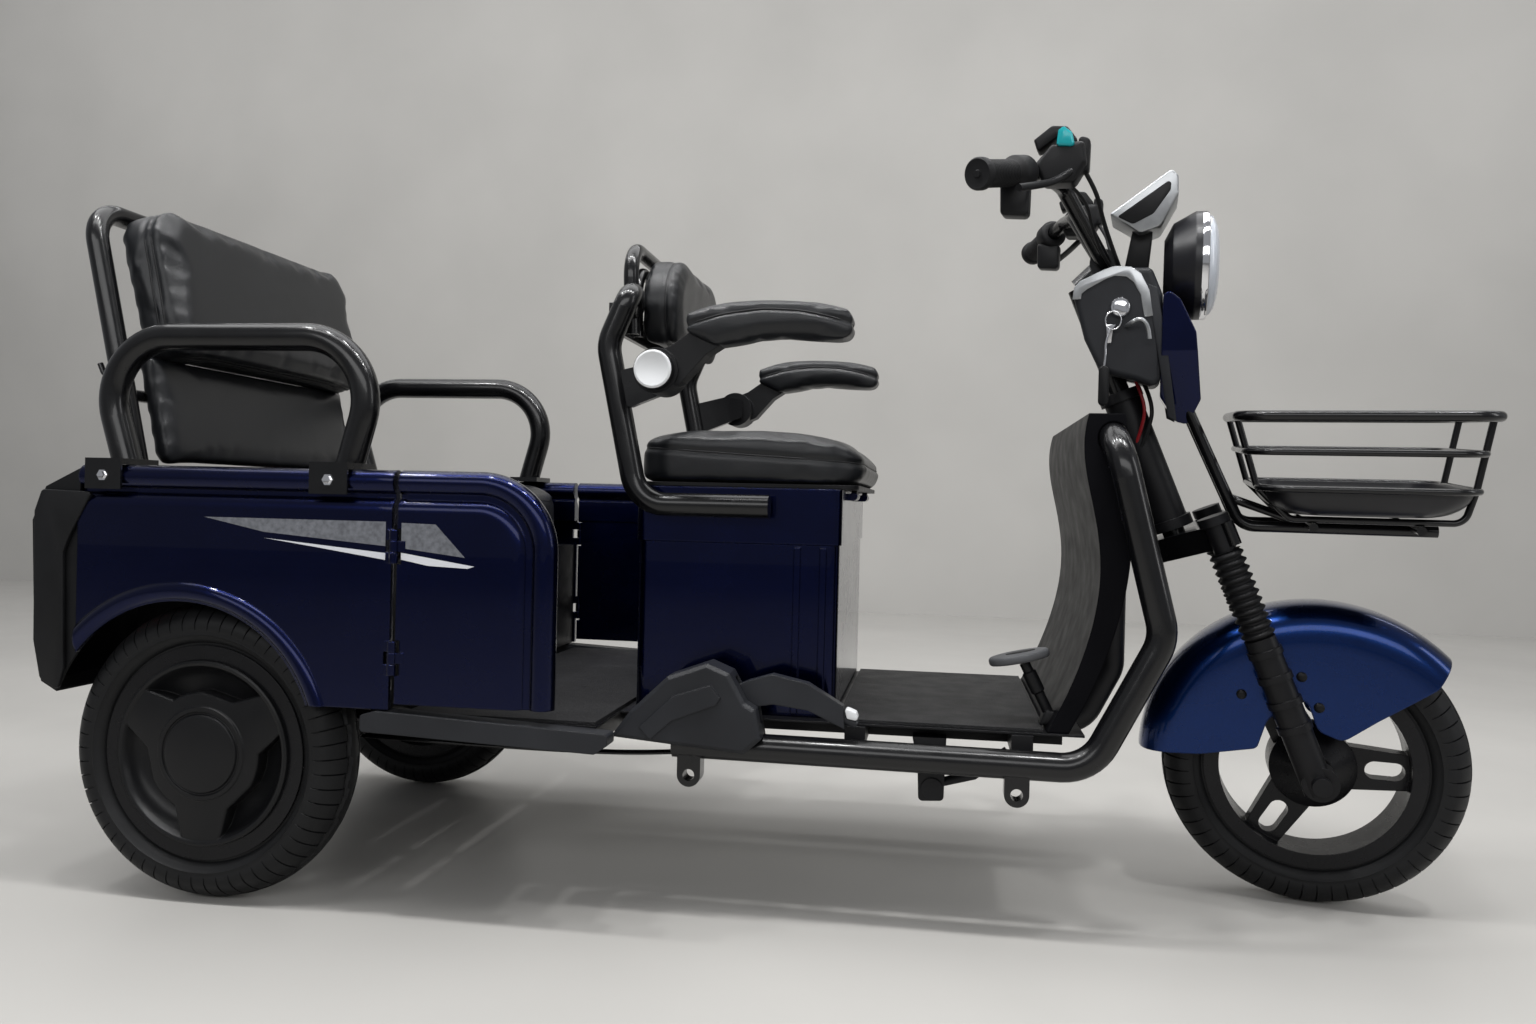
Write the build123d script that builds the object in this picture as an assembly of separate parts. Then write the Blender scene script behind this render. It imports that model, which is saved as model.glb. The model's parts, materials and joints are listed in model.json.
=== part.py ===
from build123d import *
import os
from math import asin, cos, radians, sin, sqrt, tan

# Electric passenger tricycle: a driver's seat on a battery box, a two-seat rear body with
# hinged side doors, a steered single front wheel and a basket that turns with the fork.
# Millimetres. X runs forward from the rear axle, Y to the left, Z up from the floor.
# Paired pieces are modelled on the left side and mirrored to the right.

# Clearances
FIT = 0.05
SEAT = 0.3

# Wheels
TYRE_R = 205
TYRE_W = 86
SIDEWALL = 67
BEAD_W = 60
RIM_DEPTH = 12
RIM_LIP = 9
RIM_LIP_T = 4
FRONT_SPOKES = 3
SPOKE_W = 70
SPOKE_T = 24
SPOKE_HOLE_R = 13
FRONT_HUB_R = 58
FRONT_HUB_W = 104
REAR_HUB_R = 40
COVER_INSET = 10
COVER_T = 4
COVER_CAP_R = 44
COVER_STEP = 7
SHAFT_R = 12.5
AXLE_TUBE_R = 26
AXLE_CASE_R = 57
DRUM_T = 18
SPRING_REACH = 190
SPRING_W = 44
SPRING_T = 5

# Lengths along the vehicle, rear to front
TAIL_DEEP = 73
BODY_BEHIND = 180
HINGE_AHEAD = 78
DOOR_LEN = 217
BOX_AHEAD = 65
BOX_LEN = 285
FOOT_ROOM = 400
AXLE_AHEAD = 76
FLOOR_SHORT = 70

# Heights
FLOOR_ABOVE_AXLE = 70
SEAT_SHELF = 195
RAIL_RISE = 126
BOX_RISE = 233
COLLAR_H = 77
HEAD_RISE = 465

# Steering
CASTER = 22
STEER_AT_REST = -11
FORK_Y = 96
FORK_OFFSET = 56
SLIDER_R = 21
STANCHION_R = 15
GAITER_R = 23
GAITER_FOLDS = 7
FORK_TOP_DROP = 184
GAITER_TOP_DROP = 220
SLIDER_TOP_DROP = 340
HEAD_LEN = 199
AXLE_R = 8
COLLAR_R = 13
STEERER_R = 16
HEAD_TUBE_R = 27
DOWN_R = 20
DOWN_BEND = 40
YOKE_T = 34
GUARD_GAP = 34
GUARD_W = 128
GUARD_T = 3
GUARD_DEEP = 150

# Handlebar, lamp, display and cowl, set out from the steering axis
BAR_R = 11
BAR_CLAMP_BACK = 28
BAR_CLAMP_RISE = 194
BAR_RISE = 100
BAR_HALF = 330
BAR_ELBOW = 196
BAR_ELBOW_BACK = 75
BAR_END_BACK = 139
GRIP_R = 17
GRIP_LEN = 118
LAMP_R = 78
LAMP_AHEAD = 112
LAMP_RISE = 188
LAMP_DEPTH = 56
COWL_W = 156
COWL_WALL = 4
COWL_ROUND = 12
DISPLAY_W = 96
COWL_BACK = [(-70, 151), (-14, 181), (40, 179), (56, 140), (56, 5), (22, 19), (-27, 31),
             (-50, 78)]
COWL_FACE = [(56 + SEAT, 152), (80, 132), (102, 86), (112, -8), (96, -44), (80, -40),
             (56 + SEAT, -4)]

# Basket: each rail has its share of the height, what its rear and front ends are set forward
# of the rim's, and what its sides are set in
BASKET_AHEAD = 158
BASKET_LEN = 310
BASKET_W = 300
BASKET_DROP = 32
BASKET_DEEP = 141
BASKET_RAILS = [(1.0, 0, 0, 0), (0.66, 11, -12, 5), (0.31, 29, -16, 10), (0.0, 72, -28, 25)]
HOOP_Y = 87
RIM_TUBE_R = 7
RAIL_R = 4.5
TRAY_T = 2
CARRIER_R = 8
CARRIER_Y = 40
TIE_R = 6
TIE_PROUD = 3

# Frame, floor and leg shield
MAT_T = 5
PAN_T = 3
FLOOR_MARGIN = 25
LOOP_R = 19
LOOP_OUT = 25
LOOP_DROP = 39
LOOP_RISE = 392
LOOP_BEND = 60
CHASSIS_W = 28
CHASSIS_H = 26
CHASSIS_Y = 150
LUG_BORE_R = 8
LUG_R = 16
LUG_DROP = 40
LUG_T = 26
SHIELD_MARGIN = 5
PEDAL_Y = 196
LEVER_T = 18

# Driver's seat and battery box
BOX_W = 430
BOX_WALL = 4
BOX_ROUND = 14
CUSHION_T = 66
PAN_LID_T = 6
SEAT_TUBE_R = 16.5
SEAT_TUBE_OUT = 28
SEAT_TUBE_DROP = 26
BACK_PAD_HALF = 156
ARM_PIVOT_AHEAD = 47
ARM_PIVOT_RISE = 150
ARM_PIN_R = 8
ARM_DRUM_R = 30
ARM_OUT = 25
ARM_W = 56
LID_HINGE_AHEAD = 12
LID_HINGE_DROP = 8
LID_HINGE_YS = (-110, 110)

# Rear body
BODY_W = 758
PANEL_T = 8
TYRE_GAP = 5.5
TUB_GAP = 11.5
RAIL_ROLL_R = 16.5
RAIL_GAP = 2
SHOULDER_R = 20
WEB_T = 12
DOOR_GAP = 8
DOOR_TRIM_T = 12
DOOR_BEND_R = 88
DOOR_LIFT = 8
ARCH_BACK = 24
ARCH_RISE = 10
ARCH_UNDER = 7
LIP_R = 14
LIP_PROUD = 6
TUB_WALL = 5
HINGE_R = 6
HINGE_PIN_R = 3
HINGE_LEN = 44
HINGE_OUT = 1
REST_R = 19
REST_IN = 46
REST_RISE = 180
REST_BEND = 88
CLAMP_T = 8
CLAMP_W = 54
BENCH_IN = 57
BENCH_T = 115
BACK_R = 15
BACK_IN = 94
BACK_LEAN = 12.4
BACK_FOOT = 42
BACK_RISE = 517
BACK_BEND = 52
BACK_CROSS_R = 9
TAIL_LAMP_IN = 79
TAIL_LAMP_W = 92
TAIL_LAMP_H = 80
TAIL_LAMP_DROP = 136

# Worked out from the sizes above
BEAD_R = TYRE_R - SIDEWALL
COVER_R = BEAD_R - COVER_INSET
BODY_BACK_X = -BODY_BEHIND
TAIL_X = BODY_BACK_X - TAIL_DEEP
DOOR_HINGE_X = TYRE_R + HINGE_AHEAD
DOOR_FRONT_X = DOOR_HINGE_X + DOOR_LEN
BOX_BACK_X = DOOR_FRONT_X + BOX_AHEAD
BOX_FRONT_X = BOX_BACK_X + BOX_LEN
AXIS_X = BOX_FRONT_X + FOOT_ROOM
WHEELBASE = AXIS_X + TYRE_R + AXLE_AHEAD
FLOOR_FRONT_X = AXIS_X - FLOOR_SHORT
FLOOR_Z = TYRE_R + FLOOR_ABOVE_AXLE
FLOOR_LOW = FLOOR_Z - MAT_T
CHASSIS_Z = FLOOR_LOW - PAN_T - CHASSIS_H / 2
BODY_LOW_Z = FLOOR_Z + 7
SHELF_Z = FLOOR_Z + SEAT_SHELF
SHELF_TOP = SHELF_Z + TUB_WALL + SEAT
RAIL_TOP_Z = SHELF_Z + RAIL_RISE
BOX_SEAM_Z = FLOOR_Z + BOX_RISE
BOX_TOP_Z = BOX_SEAM_Z + COLLAR_H
AXIS_Z = FLOOR_Z + HEAD_RISE
FORK_TOP_Z = AXIS_Z - FORK_TOP_DROP
GAITER_TOP_Z = AXIS_Z - GAITER_TOP_DROP
SLIDER_TOP_Z = AXIS_Z - SLIDER_TOP_DROP
HEAD_LOW_Z = AXIS_Z - HEAD_LEN
BAR_CLAMP_X = AXIS_X - BAR_CLAMP_BACK
BAR_CLAMP_Z = AXIS_Z + BAR_CLAMP_RISE
LAMP_X = AXIS_X + LAMP_AHEAD
LAMP_Z = AXIS_Z + LAMP_RISE
BASKET_BACK_X = AXIS_X + BASKET_AHEAD
BASKET_RIM_Z = AXIS_Z - BASKET_DROP
FLOOR_W = BOX_W + 2 * FLOOR_MARGIN
LOOP_Y = FLOOR_W / 2 + LOOP_OUT
LOOP_LOW_Z = FLOOR_Z - LOOP_DROP
LOOP_TOP_Z = FLOOR_Z + LOOP_RISE
LOOP_BACK_X = BOX_FRONT_X - 214
DOWN_Z = FLOOR_LOW - PAN_T - DOWN_R - SEAT
CUSHION_W = BOX_W
SEAT_TUBE_Y = BOX_W / 2 + SEAT_TUBE_OUT
SEAT_TUBE_Z = BOX_TOP_Z - SEAT_TUBE_DROP
ARM_PIVOT_X = BOX_BACK_X + ARM_PIVOT_AHEAD
ARM_PIVOT_Z = BOX_TOP_Z + ARM_PIVOT_RISE
ARM_IN_Y = SEAT_TUBE_Y + ARM_OUT
LID_HINGE_X = BOX_FRONT_X + LID_HINGE_AHEAD
LID_HINGE_Z = BOX_TOP_Z - LID_HINGE_DROP
BODY_Y = BODY_W / 2
PANEL_IN = BODY_Y - PANEL_T
FLOOR_SIDE = PANEL_IN - DOOR_TRIM_T - 8
ROLL_Y = BODY_Y - RAIL_ROLL_R
ROLL_Z = RAIL_TOP_Z - RAIL_ROLL_R
SHOULDER_DROP = RAIL_ROLL_R + RAIL_GAP + SHOULDER_R
SHOULDER_Y = BODY_Y - SHOULDER_R
SHOULDER_Z = ROLL_Z - SHOULDER_DROP
WHEEL_Y = PANEL_IN - TYRE_GAP - TYRE_W / 2
TUB_HALF = WHEEL_Y - TYRE_W / 2 - TUB_GAP
ARCH_X = -ARCH_BACK
ARCH_Z = TYRE_R + ARCH_RISE
ARCH_R = TYRE_R - ARCH_UNDER
HINGE_Y = BODY_Y + HINGE_OUT
DOOR_HINGE_ZS = (BODY_LOW_Z + 68, RAIL_TOP_Z - 100)
REST_Y = BODY_Y - REST_IN
REST_TOP_Z = RAIL_TOP_Z + REST_RISE
CLAMP_XS = (BODY_BACK_X + 40, DOOR_HINGE_X - 93)
BACK_Y = BODY_Y - BACK_IN
BACK_FOOT_X = BODY_BACK_X + BACK_FOOT
BACK_TOP_Z = SHELF_Z + BACK_RISE
TAIL_LAMP_Y = BODY_Y - TAIL_LAMP_IN
TAIL_LAMP_Z = RAIL_TOP_Z - TAIL_LAMP_DROP
AXIS_DIR = (-sin(radians(CASTER)), 0, cos(radians(CASTER)))
AXIS_AHEAD = (cos(radians(CASTER)), 0, sin(radians(CASTER)))
STEER_AXIS = Axis((AXIS_X, 0, AXIS_Z), AXIS_DIR)


# Shared helpers
def axis_at(z, ahead=0.0, y=0.0):
    """Point at height z on a line parallel to the steering axis, set ahead of it."""
    foot = (z - AXIS_Z - ahead * AXIS_AHEAD[2]) / AXIS_DIR[2]
    x = AXIS_X + AXIS_DIR[0] * foot + AXIS_AHEAD[0] * ahead
    return (x, y, z)


def steered(shape):
    """Turn a piece of the straight fork to the angle at which the tricycle is parked."""
    return shape.rotate(STEER_AXIS, STEER_AT_REST)


def pair(shape):
    """A left piece and its mirror image on the right, as one node."""
    return shape + mirror(shape, about=Plane.XZ)


def rod(points, radius, bend):
    """Round bar along straight runs joined by tangent arcs."""
    path = FilletPolyline(*points, radius=bend)
    return sweep(Plane(path @ 0, z_dir=path % 0) * Circle(radius), path=path)


def bar(start, end, radius):
    """Straight round bar between two points."""
    run = Vector(*end) - Vector(*start)
    low = (Align.CENTER, Align.CENTER, Align.MIN)
    return Plane(start, z_dir=run) * Cylinder(radius, run.length, align=low)


def across(centre, radius, width):
    """Round bar across the vehicle, about a centre."""
    return Pos(*centre) * Rot(90, 0, 0) * Cylinder(radius, width)


def block(low, high):
    """Box between two opposite corners."""
    size = [b - a for a, b in zip(low, high)]
    middle = [(a + b) / 2 for a, b in zip(low, high)]
    return Pos(*middle) * Box(*size)


def plate(outline, inner, outer):
    """Upright plate: an outline in X and Z, thick from Y = inner to Y = outer."""
    face = Plane((0, outer, 0), x_dir=(1, 0, 0), z_dir=(0, -1, 0)) * outline
    return extrude(face, outer - inner, dir=(0, -1, 0))


def outline(points, corner=0.0):
    """Closed outline of straight runs, with every corner rounded alike."""
    shape = Polygon(*points, align=None)
    if corner:
        shape = fillet(shape.vertices(), corner)
    return shape


def shifted(points, x, z):
    """Side-view points set out from a reference point."""
    return [(x + a, z + b) for a, b in points]


def turned(points):
    """Ring about the Y axis from an outline of (axial, radial) points."""
    return revolve(Plane.YZ * Polygon(*points, align=None), Axis.Y)


def hinge_ends(middle, axis):
    """The two outer barrels of one hinge, with the pin."""
    centre = Vector(*middle)
    along = Vector(*axis).normalized()
    inner = along * (HINGE_LEN / 6 + SEAT)
    outer = along * HINGE_LEN / 2
    ends = bar(centre - outer, centre - inner, HINGE_R)
    ends += bar(centre + inner, centre + outer, HINGE_R)
    return ends + bar(centre - outer, centre + outer, HINGE_PIN_R)


def hinge_knuckle(middle, axis):
    """The bored middle barrel of one hinge."""
    centre = Vector(*middle)
    along = Vector(*axis).normalized()
    half = along * HINGE_LEN / 6
    return bar(centre - half, centre + half, HINGE_R) - hinge_bore(middle, axis)


def hinge_bore(middle, axis):
    """The hole for a hinge's pin."""
    centre = Vector(*middle)
    reach = Vector(*axis).normalized() * HINGE_LEN / 2
    return bar(centre - reach, centre + reach, HINGE_PIN_R + FIT)


# Wheels
def tyre():
    half = TYRE_W / 2
    bead = BEAD_W / 2
    bead_r = BEAD_R + SEAT
    lip_r = BEAD_R + RIM_LIP + 3
    shoulder = (half - 7, TYRE_R - 17)
    belly = (half, (lip_r + shoulder[1]) / 2 + 4)
    section = make_face([
        ThreePointArc((-shoulder[0], shoulder[1]), (0, TYRE_R), shoulder),
        ThreePointArc(shoulder, belly, (bead, lip_r)),
        Line((bead, lip_r), (bead, bead_r)),
        Line((bead, bead_r), (-bead, bead_r)),
        Line((-bead, bead_r), (-bead, lip_r)),
        ThreePointArc((-bead, lip_r), (-belly[0], belly[1]), (-shoulder[0], shoulder[1])),
    ])
    return revolve(Plane.YZ * section, Axis.Y)


def rim_ring():
    bead = BEAD_W / 2 + SEAT
    lip = bead + RIM_LIP_T
    top = BEAD_R + RIM_LIP
    low = BEAD_R - RIM_DEPTH
    return turned([(-lip, low), (lip, low), (lip, top), (bead, top), (bead, BEAD_R),
                   (-bead, BEAD_R), (-bead, top), (-lip, top)])


def front_rim():
    """Ring, hub and slotted spokes of the front wheel, about its own centre."""
    half = FRONT_HUB_W / 2
    wheel = rim_ring()
    wheel += turned([(-half, 0), (half, 0), (half, AXLE_R * 3), (half / 2, FRONT_HUB_R),
                     (-half / 2, FRONT_HUB_R), (-half, AXLE_R * 3)])
    reach = BEAD_R - RIM_DEPTH / 2
    spoke = outline([(-SPOKE_W / 2, 0), (SPOKE_W / 2, 0), (SPOKE_W * 0.36, reach),
                     (-SPOKE_W * 0.36, reach)])
    slot = SlotOverall(SPOKE_HOLE_R * 4, SPOKE_HOLE_R * 2, rotation=90)
    spoke -= Pos(0, (FRONT_HUB_R + reach) / 2) * slot
    solid = plate(spoke, -SPOKE_T / 2, SPOKE_T / 2)
    for index in range(FRONT_SPOKES):
        wheel += solid.rotate(Axis.Y, 90 + index * 360 / FRONT_SPOKES)
    return wheel - turned([(-half, 0), (half, 0), (half, AXLE_R + FIT), (-half, AXLE_R + FIT)])


def rear_rim():
    """Ring, dished web and hub of the left rear wheel, about its own centre."""
    face = BEAD_W / 2
    web = [(-face, 0), (face, 0), (face, REAR_HUB_R), (8, REAR_HUB_R + 20),
           (8, BEAD_R - RIM_DEPTH / 2), (-4, BEAD_R - RIM_DEPTH / 2), (-4, REAR_HUB_R + 20),
           (-face, REAR_HUB_R)]
    bore = SHAFT_R + FIT
    return rim_ring() + turned(web) - turned([(-face, 0), (face, 0), (face, bore), (-face, bore)])


def rear_cover():
    """Dished cover on the outer face of a rear wheel, with a three-armed raised trim."""
    face = BEAD_W / 2 + SEAT + RIM_LIP_T
    dish = face - COVER_T
    cover = turned([(dish, 0), (face + COVER_T, 0), (face + COVER_T, COVER_R * 0.62),
                    (face + COVER_STEP, COVER_R * 0.86), (face + COVER_STEP, COVER_R),
                    (face + SEAT, COVER_R), (face + SEAT, COVER_R * 0.8), (dish, COVER_R * 0.6)])
    top = face + COVER_STEP
    arm = outline([(-34, 0), (34, 0), (26, COVER_R * 0.62), (17, COVER_R * 0.8),
                   (-17, COVER_R * 0.8), (-26, COVER_R * 0.62)])
    solid = plate(arm, face, top)
    for index in range(3):
        cover += solid.rotate(Axis.Y, 180 + index * 120)
    return cover + turned([(face, 0), (top + 4, 0), (top + 4, COVER_CAP_R - 5), (top, COVER_CAP_R),
                           (face, COVER_CAP_R)])


# Steered pieces, modelled straight ahead
def axle_height():
    """Height of the straight front axle that sets the parked, steered tyre on the floor."""
    crown = ((TYRE_W / 2 - 7) ** 2 + 17 ** 2) / (2 * 17)
    turn = radians(STEER_AT_REST)
    lean = sin(turn) * sin(radians(CASTER))
    low = (TYRE_R - crown) * sqrt(1 - lean ** 2) + crown
    lead = (WHEELBASE - axis_at(TYRE_R)[0]) * cos(radians(CASTER))
    return low + lead * (1 - cos(turn)) * sin(radians(CASTER))


FRONT_AXLE = (WHEELBASE, 0, axle_height())


def fork_point(z):
    """Point on the left fork leg's centre line."""
    return axis_at(z, FORK_OFFSET, FORK_Y)


def steering_stem():
    """Steerer, lower yoke that holds the legs, and the clamp of the handlebar."""
    top = axis_at(BAR_CLAMP_Z - 34)
    low = axis_at(FORK_TOP_Z - FORK_OFFSET * AXIS_AHEAD[2] - YOKE_T * AXIS_DIR[2])
    stem = bar(low, top, STEERER_R)
    yoke_plane = Plane(low, x_dir=AXIS_AHEAD, z_dir=AXIS_DIR)
    half = FORK_Y + STANCHION_R + 12
    yoke = outline([(-34, -30), (FORK_OFFSET + 24, -half), (FORK_OFFSET + 24, half), (-34, 30)], 9)
    yoke -= Pos(FORK_OFFSET * 2.05, 0) * Rectangle(FORK_OFFSET, FORK_Y)
    solid = extrude(yoke_plane * yoke, YOKE_T, both=False)
    for side in (-1, 1):
        hole = Pos(FORK_OFFSET, side * FORK_Y) * Circle(STANCHION_R + FIT)
        solid -= extrude(yoke_plane * hole, YOKE_T * 2, both=True)
    seat = (BAR_CLAMP_X, 0, BAR_CLAMP_Z)
    clamp = across(seat, BAR_R + 9, 62)
    return stem + solid + bar(top, seat, STEERER_R) + clamp - across(seat, BAR_R + FIT, 80)


def front_axle():
    """Fixed spindle with a collar each side of the hub."""
    half = FORK_Y
    collar = FRONT_HUB_W / 2 + 1
    spindle = turned([(-half, 0), (half, 0), (half, COLLAR_R), (collar, COLLAR_R), (collar, AXLE_R),
                      (-collar, AXLE_R), (-collar, COLLAR_R), (-half, COLLAR_R)])
    return Pos(*FRONT_AXLE) * spindle


def fork_legs():
    """Stanchions with top caps, sliders down to the axle lugs, mudguard stays and the spindle."""
    foot_z = FRONT_AXLE[2]
    cap = bar(fork_point(FORK_TOP_Z + SEAT), fork_point(FORK_TOP_Z + 12), STANCHION_R + 6)
    leg = bar(fork_point(SLIDER_TOP_Z - 20), fork_point(FORK_TOP_Z + 4), STANCHION_R)
    slider = bar(fork_point(foot_z - 14), fork_point(SLIDER_TOP_Z), SLIDER_R)
    for ring in range(4):
        z = SLIDER_TOP_Z - 24 - ring * 34
        slider += bar(fork_point(z), fork_point(z + 9), SLIDER_R + 2.5)
    lug = across((FRONT_AXLE[0], FORK_Y, foot_z), 24, 2 * SLIDER_R - 8)
    nut = across((FRONT_AXLE[0], FORK_Y + SLIDER_R + 5, foot_z), COLLAR_R, 12)
    leg += cap + slider + lug + nut
    for rise in (124, 160):
        stay = fork_point(foot_z + rise)
        leg += bar((stay[0], GUARD_W / 2 + SEAT, stay[2]), stay, 9)
    return pair(leg) + front_axle()


def fork_gaiters():
    """Bellows over the stanchions, a stack of rounded folds."""
    low = SLIDER_TOP_Z + SEAT
    step = (GAITER_TOP_Z - low) / GAITER_FOLDS
    boot = None
    for index in range(GAITER_FOLDS):
        start = fork_point(low + index * step)
        middle = fork_point(low + (index + 0.55) * step)
        end = fork_point(low + (index + 1) * step)
        fold = bar(start, middle, GAITER_R) + bar(middle, end, GAITER_R - 4)
        boot = fold if boot is None else boot + fold
    boot -= bar(fork_point(low - 10), fork_point(GAITER_TOP_Z + 10), STANCHION_R + FIT)
    return pair(boot)


def front_mudguard():
    """Shell of revolution round the tyre, cut to its side lobes and notched at the fork."""
    crown = TYRE_R + GUARD_GAP
    half = GUARD_W / 2
    shoulder = crown - 20
    deep = TYRE_R - GUARD_DEEP
    face = make_face([
        Line((-half, deep), (-half, shoulder)),
        ThreePointArc((-half, shoulder), (-half + 7, crown - 6), (-half + 24, crown)),
        Line((-half + 24, crown), (half - 24, crown)),
        ThreePointArc((half - 24, crown), (half - 7, crown - 6), (half, shoulder)),
        Line((half, shoulder), (half, deep)),
        Line((half, deep), (half - GUARD_T, deep)),
        Line((half - GUARD_T, deep), (half - GUARD_T, shoulder)),
        ThreePointArc((half - GUARD_T, shoulder), (half - GUARD_T - 6, crown - GUARD_T - 6),
                      (half - 24, crown - GUARD_T)),
        Line((half - 24, crown - GUARD_T), (-half + 24, crown - GUARD_T)),
        ThreePointArc((-half + 24, crown - GUARD_T), (-half + GUARD_T + 6, crown - GUARD_T - 6),
                      (-half + GUARD_T, shoulder)),
        Line((-half + GUARD_T, shoulder), (-half + GUARD_T, deep)),
        Line((-half + GUARD_T, deep), (-half, deep)),
    ])
    shell = revolve(Plane.YZ * face, Axis.Y)
    keep = outline([(-crown - 20, 8), (-154, 14), (-76, 30), (-66, 70), (-20, 116), (-2, 68),
                    (12, 54), (30, 50), (48, 60), (75, 83), (146, 133), (170, 178), (196, 250),
                    (-60, crown + 30), (-crown - 20, 160)])
    return Pos(*FRONT_AXLE) * (shell & plate(keep, -half - 20, half + 20))


def bar_points():
    """Corners of the left half of the handlebar, from the grip's end to the clamp."""
    x, z = BAR_CLAMP_X, BAR_CLAMP_Z
    top = z + BAR_RISE
    return [(x - BAR_END_BACK, BAR_HALF, top - 26), (x - BAR_ELBOW_BACK, BAR_ELBOW, top),
            (x - 54, 120, top - 6), (x, 44, z)]


def handlebar():
    """Bent bar: across the clamp, up and out, then back along the grips."""
    left = bar_points()
    right = [(x, -y, z) for x, y, z in reversed(left)]
    return rod(left + right, BAR_R, 26)


def bar_end(reach):
    """Point on the left grip run, a distance in from the bar's end."""
    outer, inner = (Vector(*point) for point in bar_points()[:2])
    return outer + (inner - outer).normalized() * reach


def grips():
    grip = bar(bar_end(-6), bar_end(GRIP_LEN), GRIP_R)
    grip += bar(bar_end(-8), bar_end(0), GRIP_R + 2)
    grip += bar(bar_end(GRIP_LEN - 5), bar_end(GRIP_LEN), GRIP_R + 5)
    return pair(grip - bar(bar_end(SEAT - 1), bar_end(GRIP_LEN + 20), BAR_R + FIT))


def control_pods():
    """Switch housings beside the grips, with the brake levers in front of them."""
    start = bar_end(GRIP_LEN + 2)
    end = bar_end(GRIP_LEN + 30)
    pod = bar(start, end, GRIP_R + 6)
    middle = bar_end(GRIP_LEN + 16)
    along = (end - start).normalized()
    upright = Plane(middle + Vector(0, 0, 18), x_dir=along, z_dir=Vector(-along.Z * along.X, 0, 1))
    pod += upright * Box(26, 42, 36)
    clear = bar(bar_end(GRIP_LEN - 20), bar_end(GRIP_LEN + 60), BAR_R + SEAT)
    tip = bar_end(14) + Vector(52, 12, -12)
    lever = rod([(middle.X + 16, middle.Y, middle.Z - 4), (middle.X + 50, middle.Y, middle.Z - 6),
                 (tip.X, tip.Y, tip.Z)], 6, 12)
    return pair(pod + lever - clear)


def lamp_bucket(gap):
    """Outside of the round lamp, grown by a gap."""
    back = LAMP_X - LAMP_DEPTH - gap
    side = outline([(back, 0), (LAMP_X, 0), (LAMP_X, LAMP_R + gap), (LAMP_X - 14, LAMP_R + gap),
                    (back + 12, LAMP_R - 16 + gap), (back, LAMP_R - 40 + gap)])
    return Pos(0, 0, LAMP_Z) * revolve(Plane.XZ * side, Axis.X)


def headlight_housing():
    """Round lamp bucket, open at the front for its lens."""
    mouth = LAMP_R - 6
    bowl = outline([(LAMP_X - 30, 0), (LAMP_X + 5, 0), (LAMP_X + 5, mouth), (LAMP_X - 8, mouth)])
    return lamp_bucket(0) - Pos(0, 0, LAMP_Z) * revolve(Plane.XZ * bowl, Axis.X)


def headlight_lens():
    """Domed clear lens in the mouth of the lamp."""
    edge = LAMP_R - 6 - SEAT
    rear = LAMP_X - 7
    bulge = 18
    dome = (edge ** 2 + bulge ** 2) / (2 * bulge)
    half_turn = asin(edge / dome) / 2
    centre = LAMP_X + bulge - dome
    mid = (centre + dome * cos(half_turn), dome * sin(half_turn))
    face = make_face([Line((rear, 0), (rear, edge)), Line((rear, edge), (LAMP_X, edge)),
                      ThreePointArc((LAMP_X, edge), mid, (LAMP_X + bulge, 0)),
                      Line((LAMP_X + bulge, 0), (rear, 0))])
    return Pos(0, 0, LAMP_Z) * revolve(Plane.XZ * face, Axis.X)


def cowl():
    """Hollow rounded housing behind the lamp, open where the steerer passes."""
    half = COWL_W / 2
    side = outline(shifted(COWL_BACK, AXIS_X, AXIS_Z), COWL_ROUND)
    shell = plate(side, -half, half)
    shell = fillet(shell.faces().filter_by(Axis.Y).edges(), COWL_ROUND * 0.7)
    inner = plate(offset(side, -COWL_WALL), -half + COWL_WALL, half - COWL_WALL)
    way = bar(axis_at(HEAD_LOW_Z), axis_at(BAR_CLAMP_Z + 60), HEAD_TUBE_R + 6)
    neck = bar((BAR_CLAMP_X, 0, BAR_CLAMP_Z - 20), (BAR_CLAMP_X, 0, BAR_CLAMP_Z + 40), 44)
    reach = bar(axis_at(BAR_CLAMP_Z - 34), (BAR_CLAMP_X, 0, BAR_CLAMP_Z), STEERER_R + 4)
    return shell - inner - way - neck - reach


def cowl_front():
    """Painted front panel below the lamp, narrower towards its foot."""
    half = COWL_W / 2 + 4
    panel = plate(outline(shifted(COWL_FACE, AXIS_X, AXIS_Z), 8), -half, half)
    high, waist, foot = AXIS_Z + 152, AXIS_Z + 60, AXIS_Z - 44
    taper = outline([(-half, high), (half, high), (half, waist), (40, foot), (-40, foot),
                     (-half, waist)])
    front = Plane((AXIS_X + 30, 0, 0), x_dir=(0, 1, 0), z_dir=(1, 0, 0))
    return (panel & extrude(front * taper, 110, dir=(1, 0, 0))) - lamp_bucket(SEAT)


def display():
    """Tilted instrument pod on a foot that stands on the cowl."""
    half = DISPLAY_W / 2
    pod = [(-12, 254), (50, 326), (66, 322), (66, 290), (12, 236)]
    foot = [(12, 240), (40, 266), (34, 179 + SEAT), (0, 180 + SEAT * 2)]
    solid = plate(outline(shifted(pod, AXIS_X, AXIS_Z), 5), -half, half)
    return solid + plate(outline(shifted(foot, AXIS_X, AXIS_Z)), -26, 26)


def basket_level(row):
    """Rear X, front X, half width and height of one basket rail."""
    share, back, front, inset = row
    z = BASKET_RIM_Z - BASKET_DEEP * (1 - share)
    return (BASKET_BACK_X + back, BASKET_BACK_X + BASKET_LEN + front, BASKET_W / 2 - inset, z)


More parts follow.
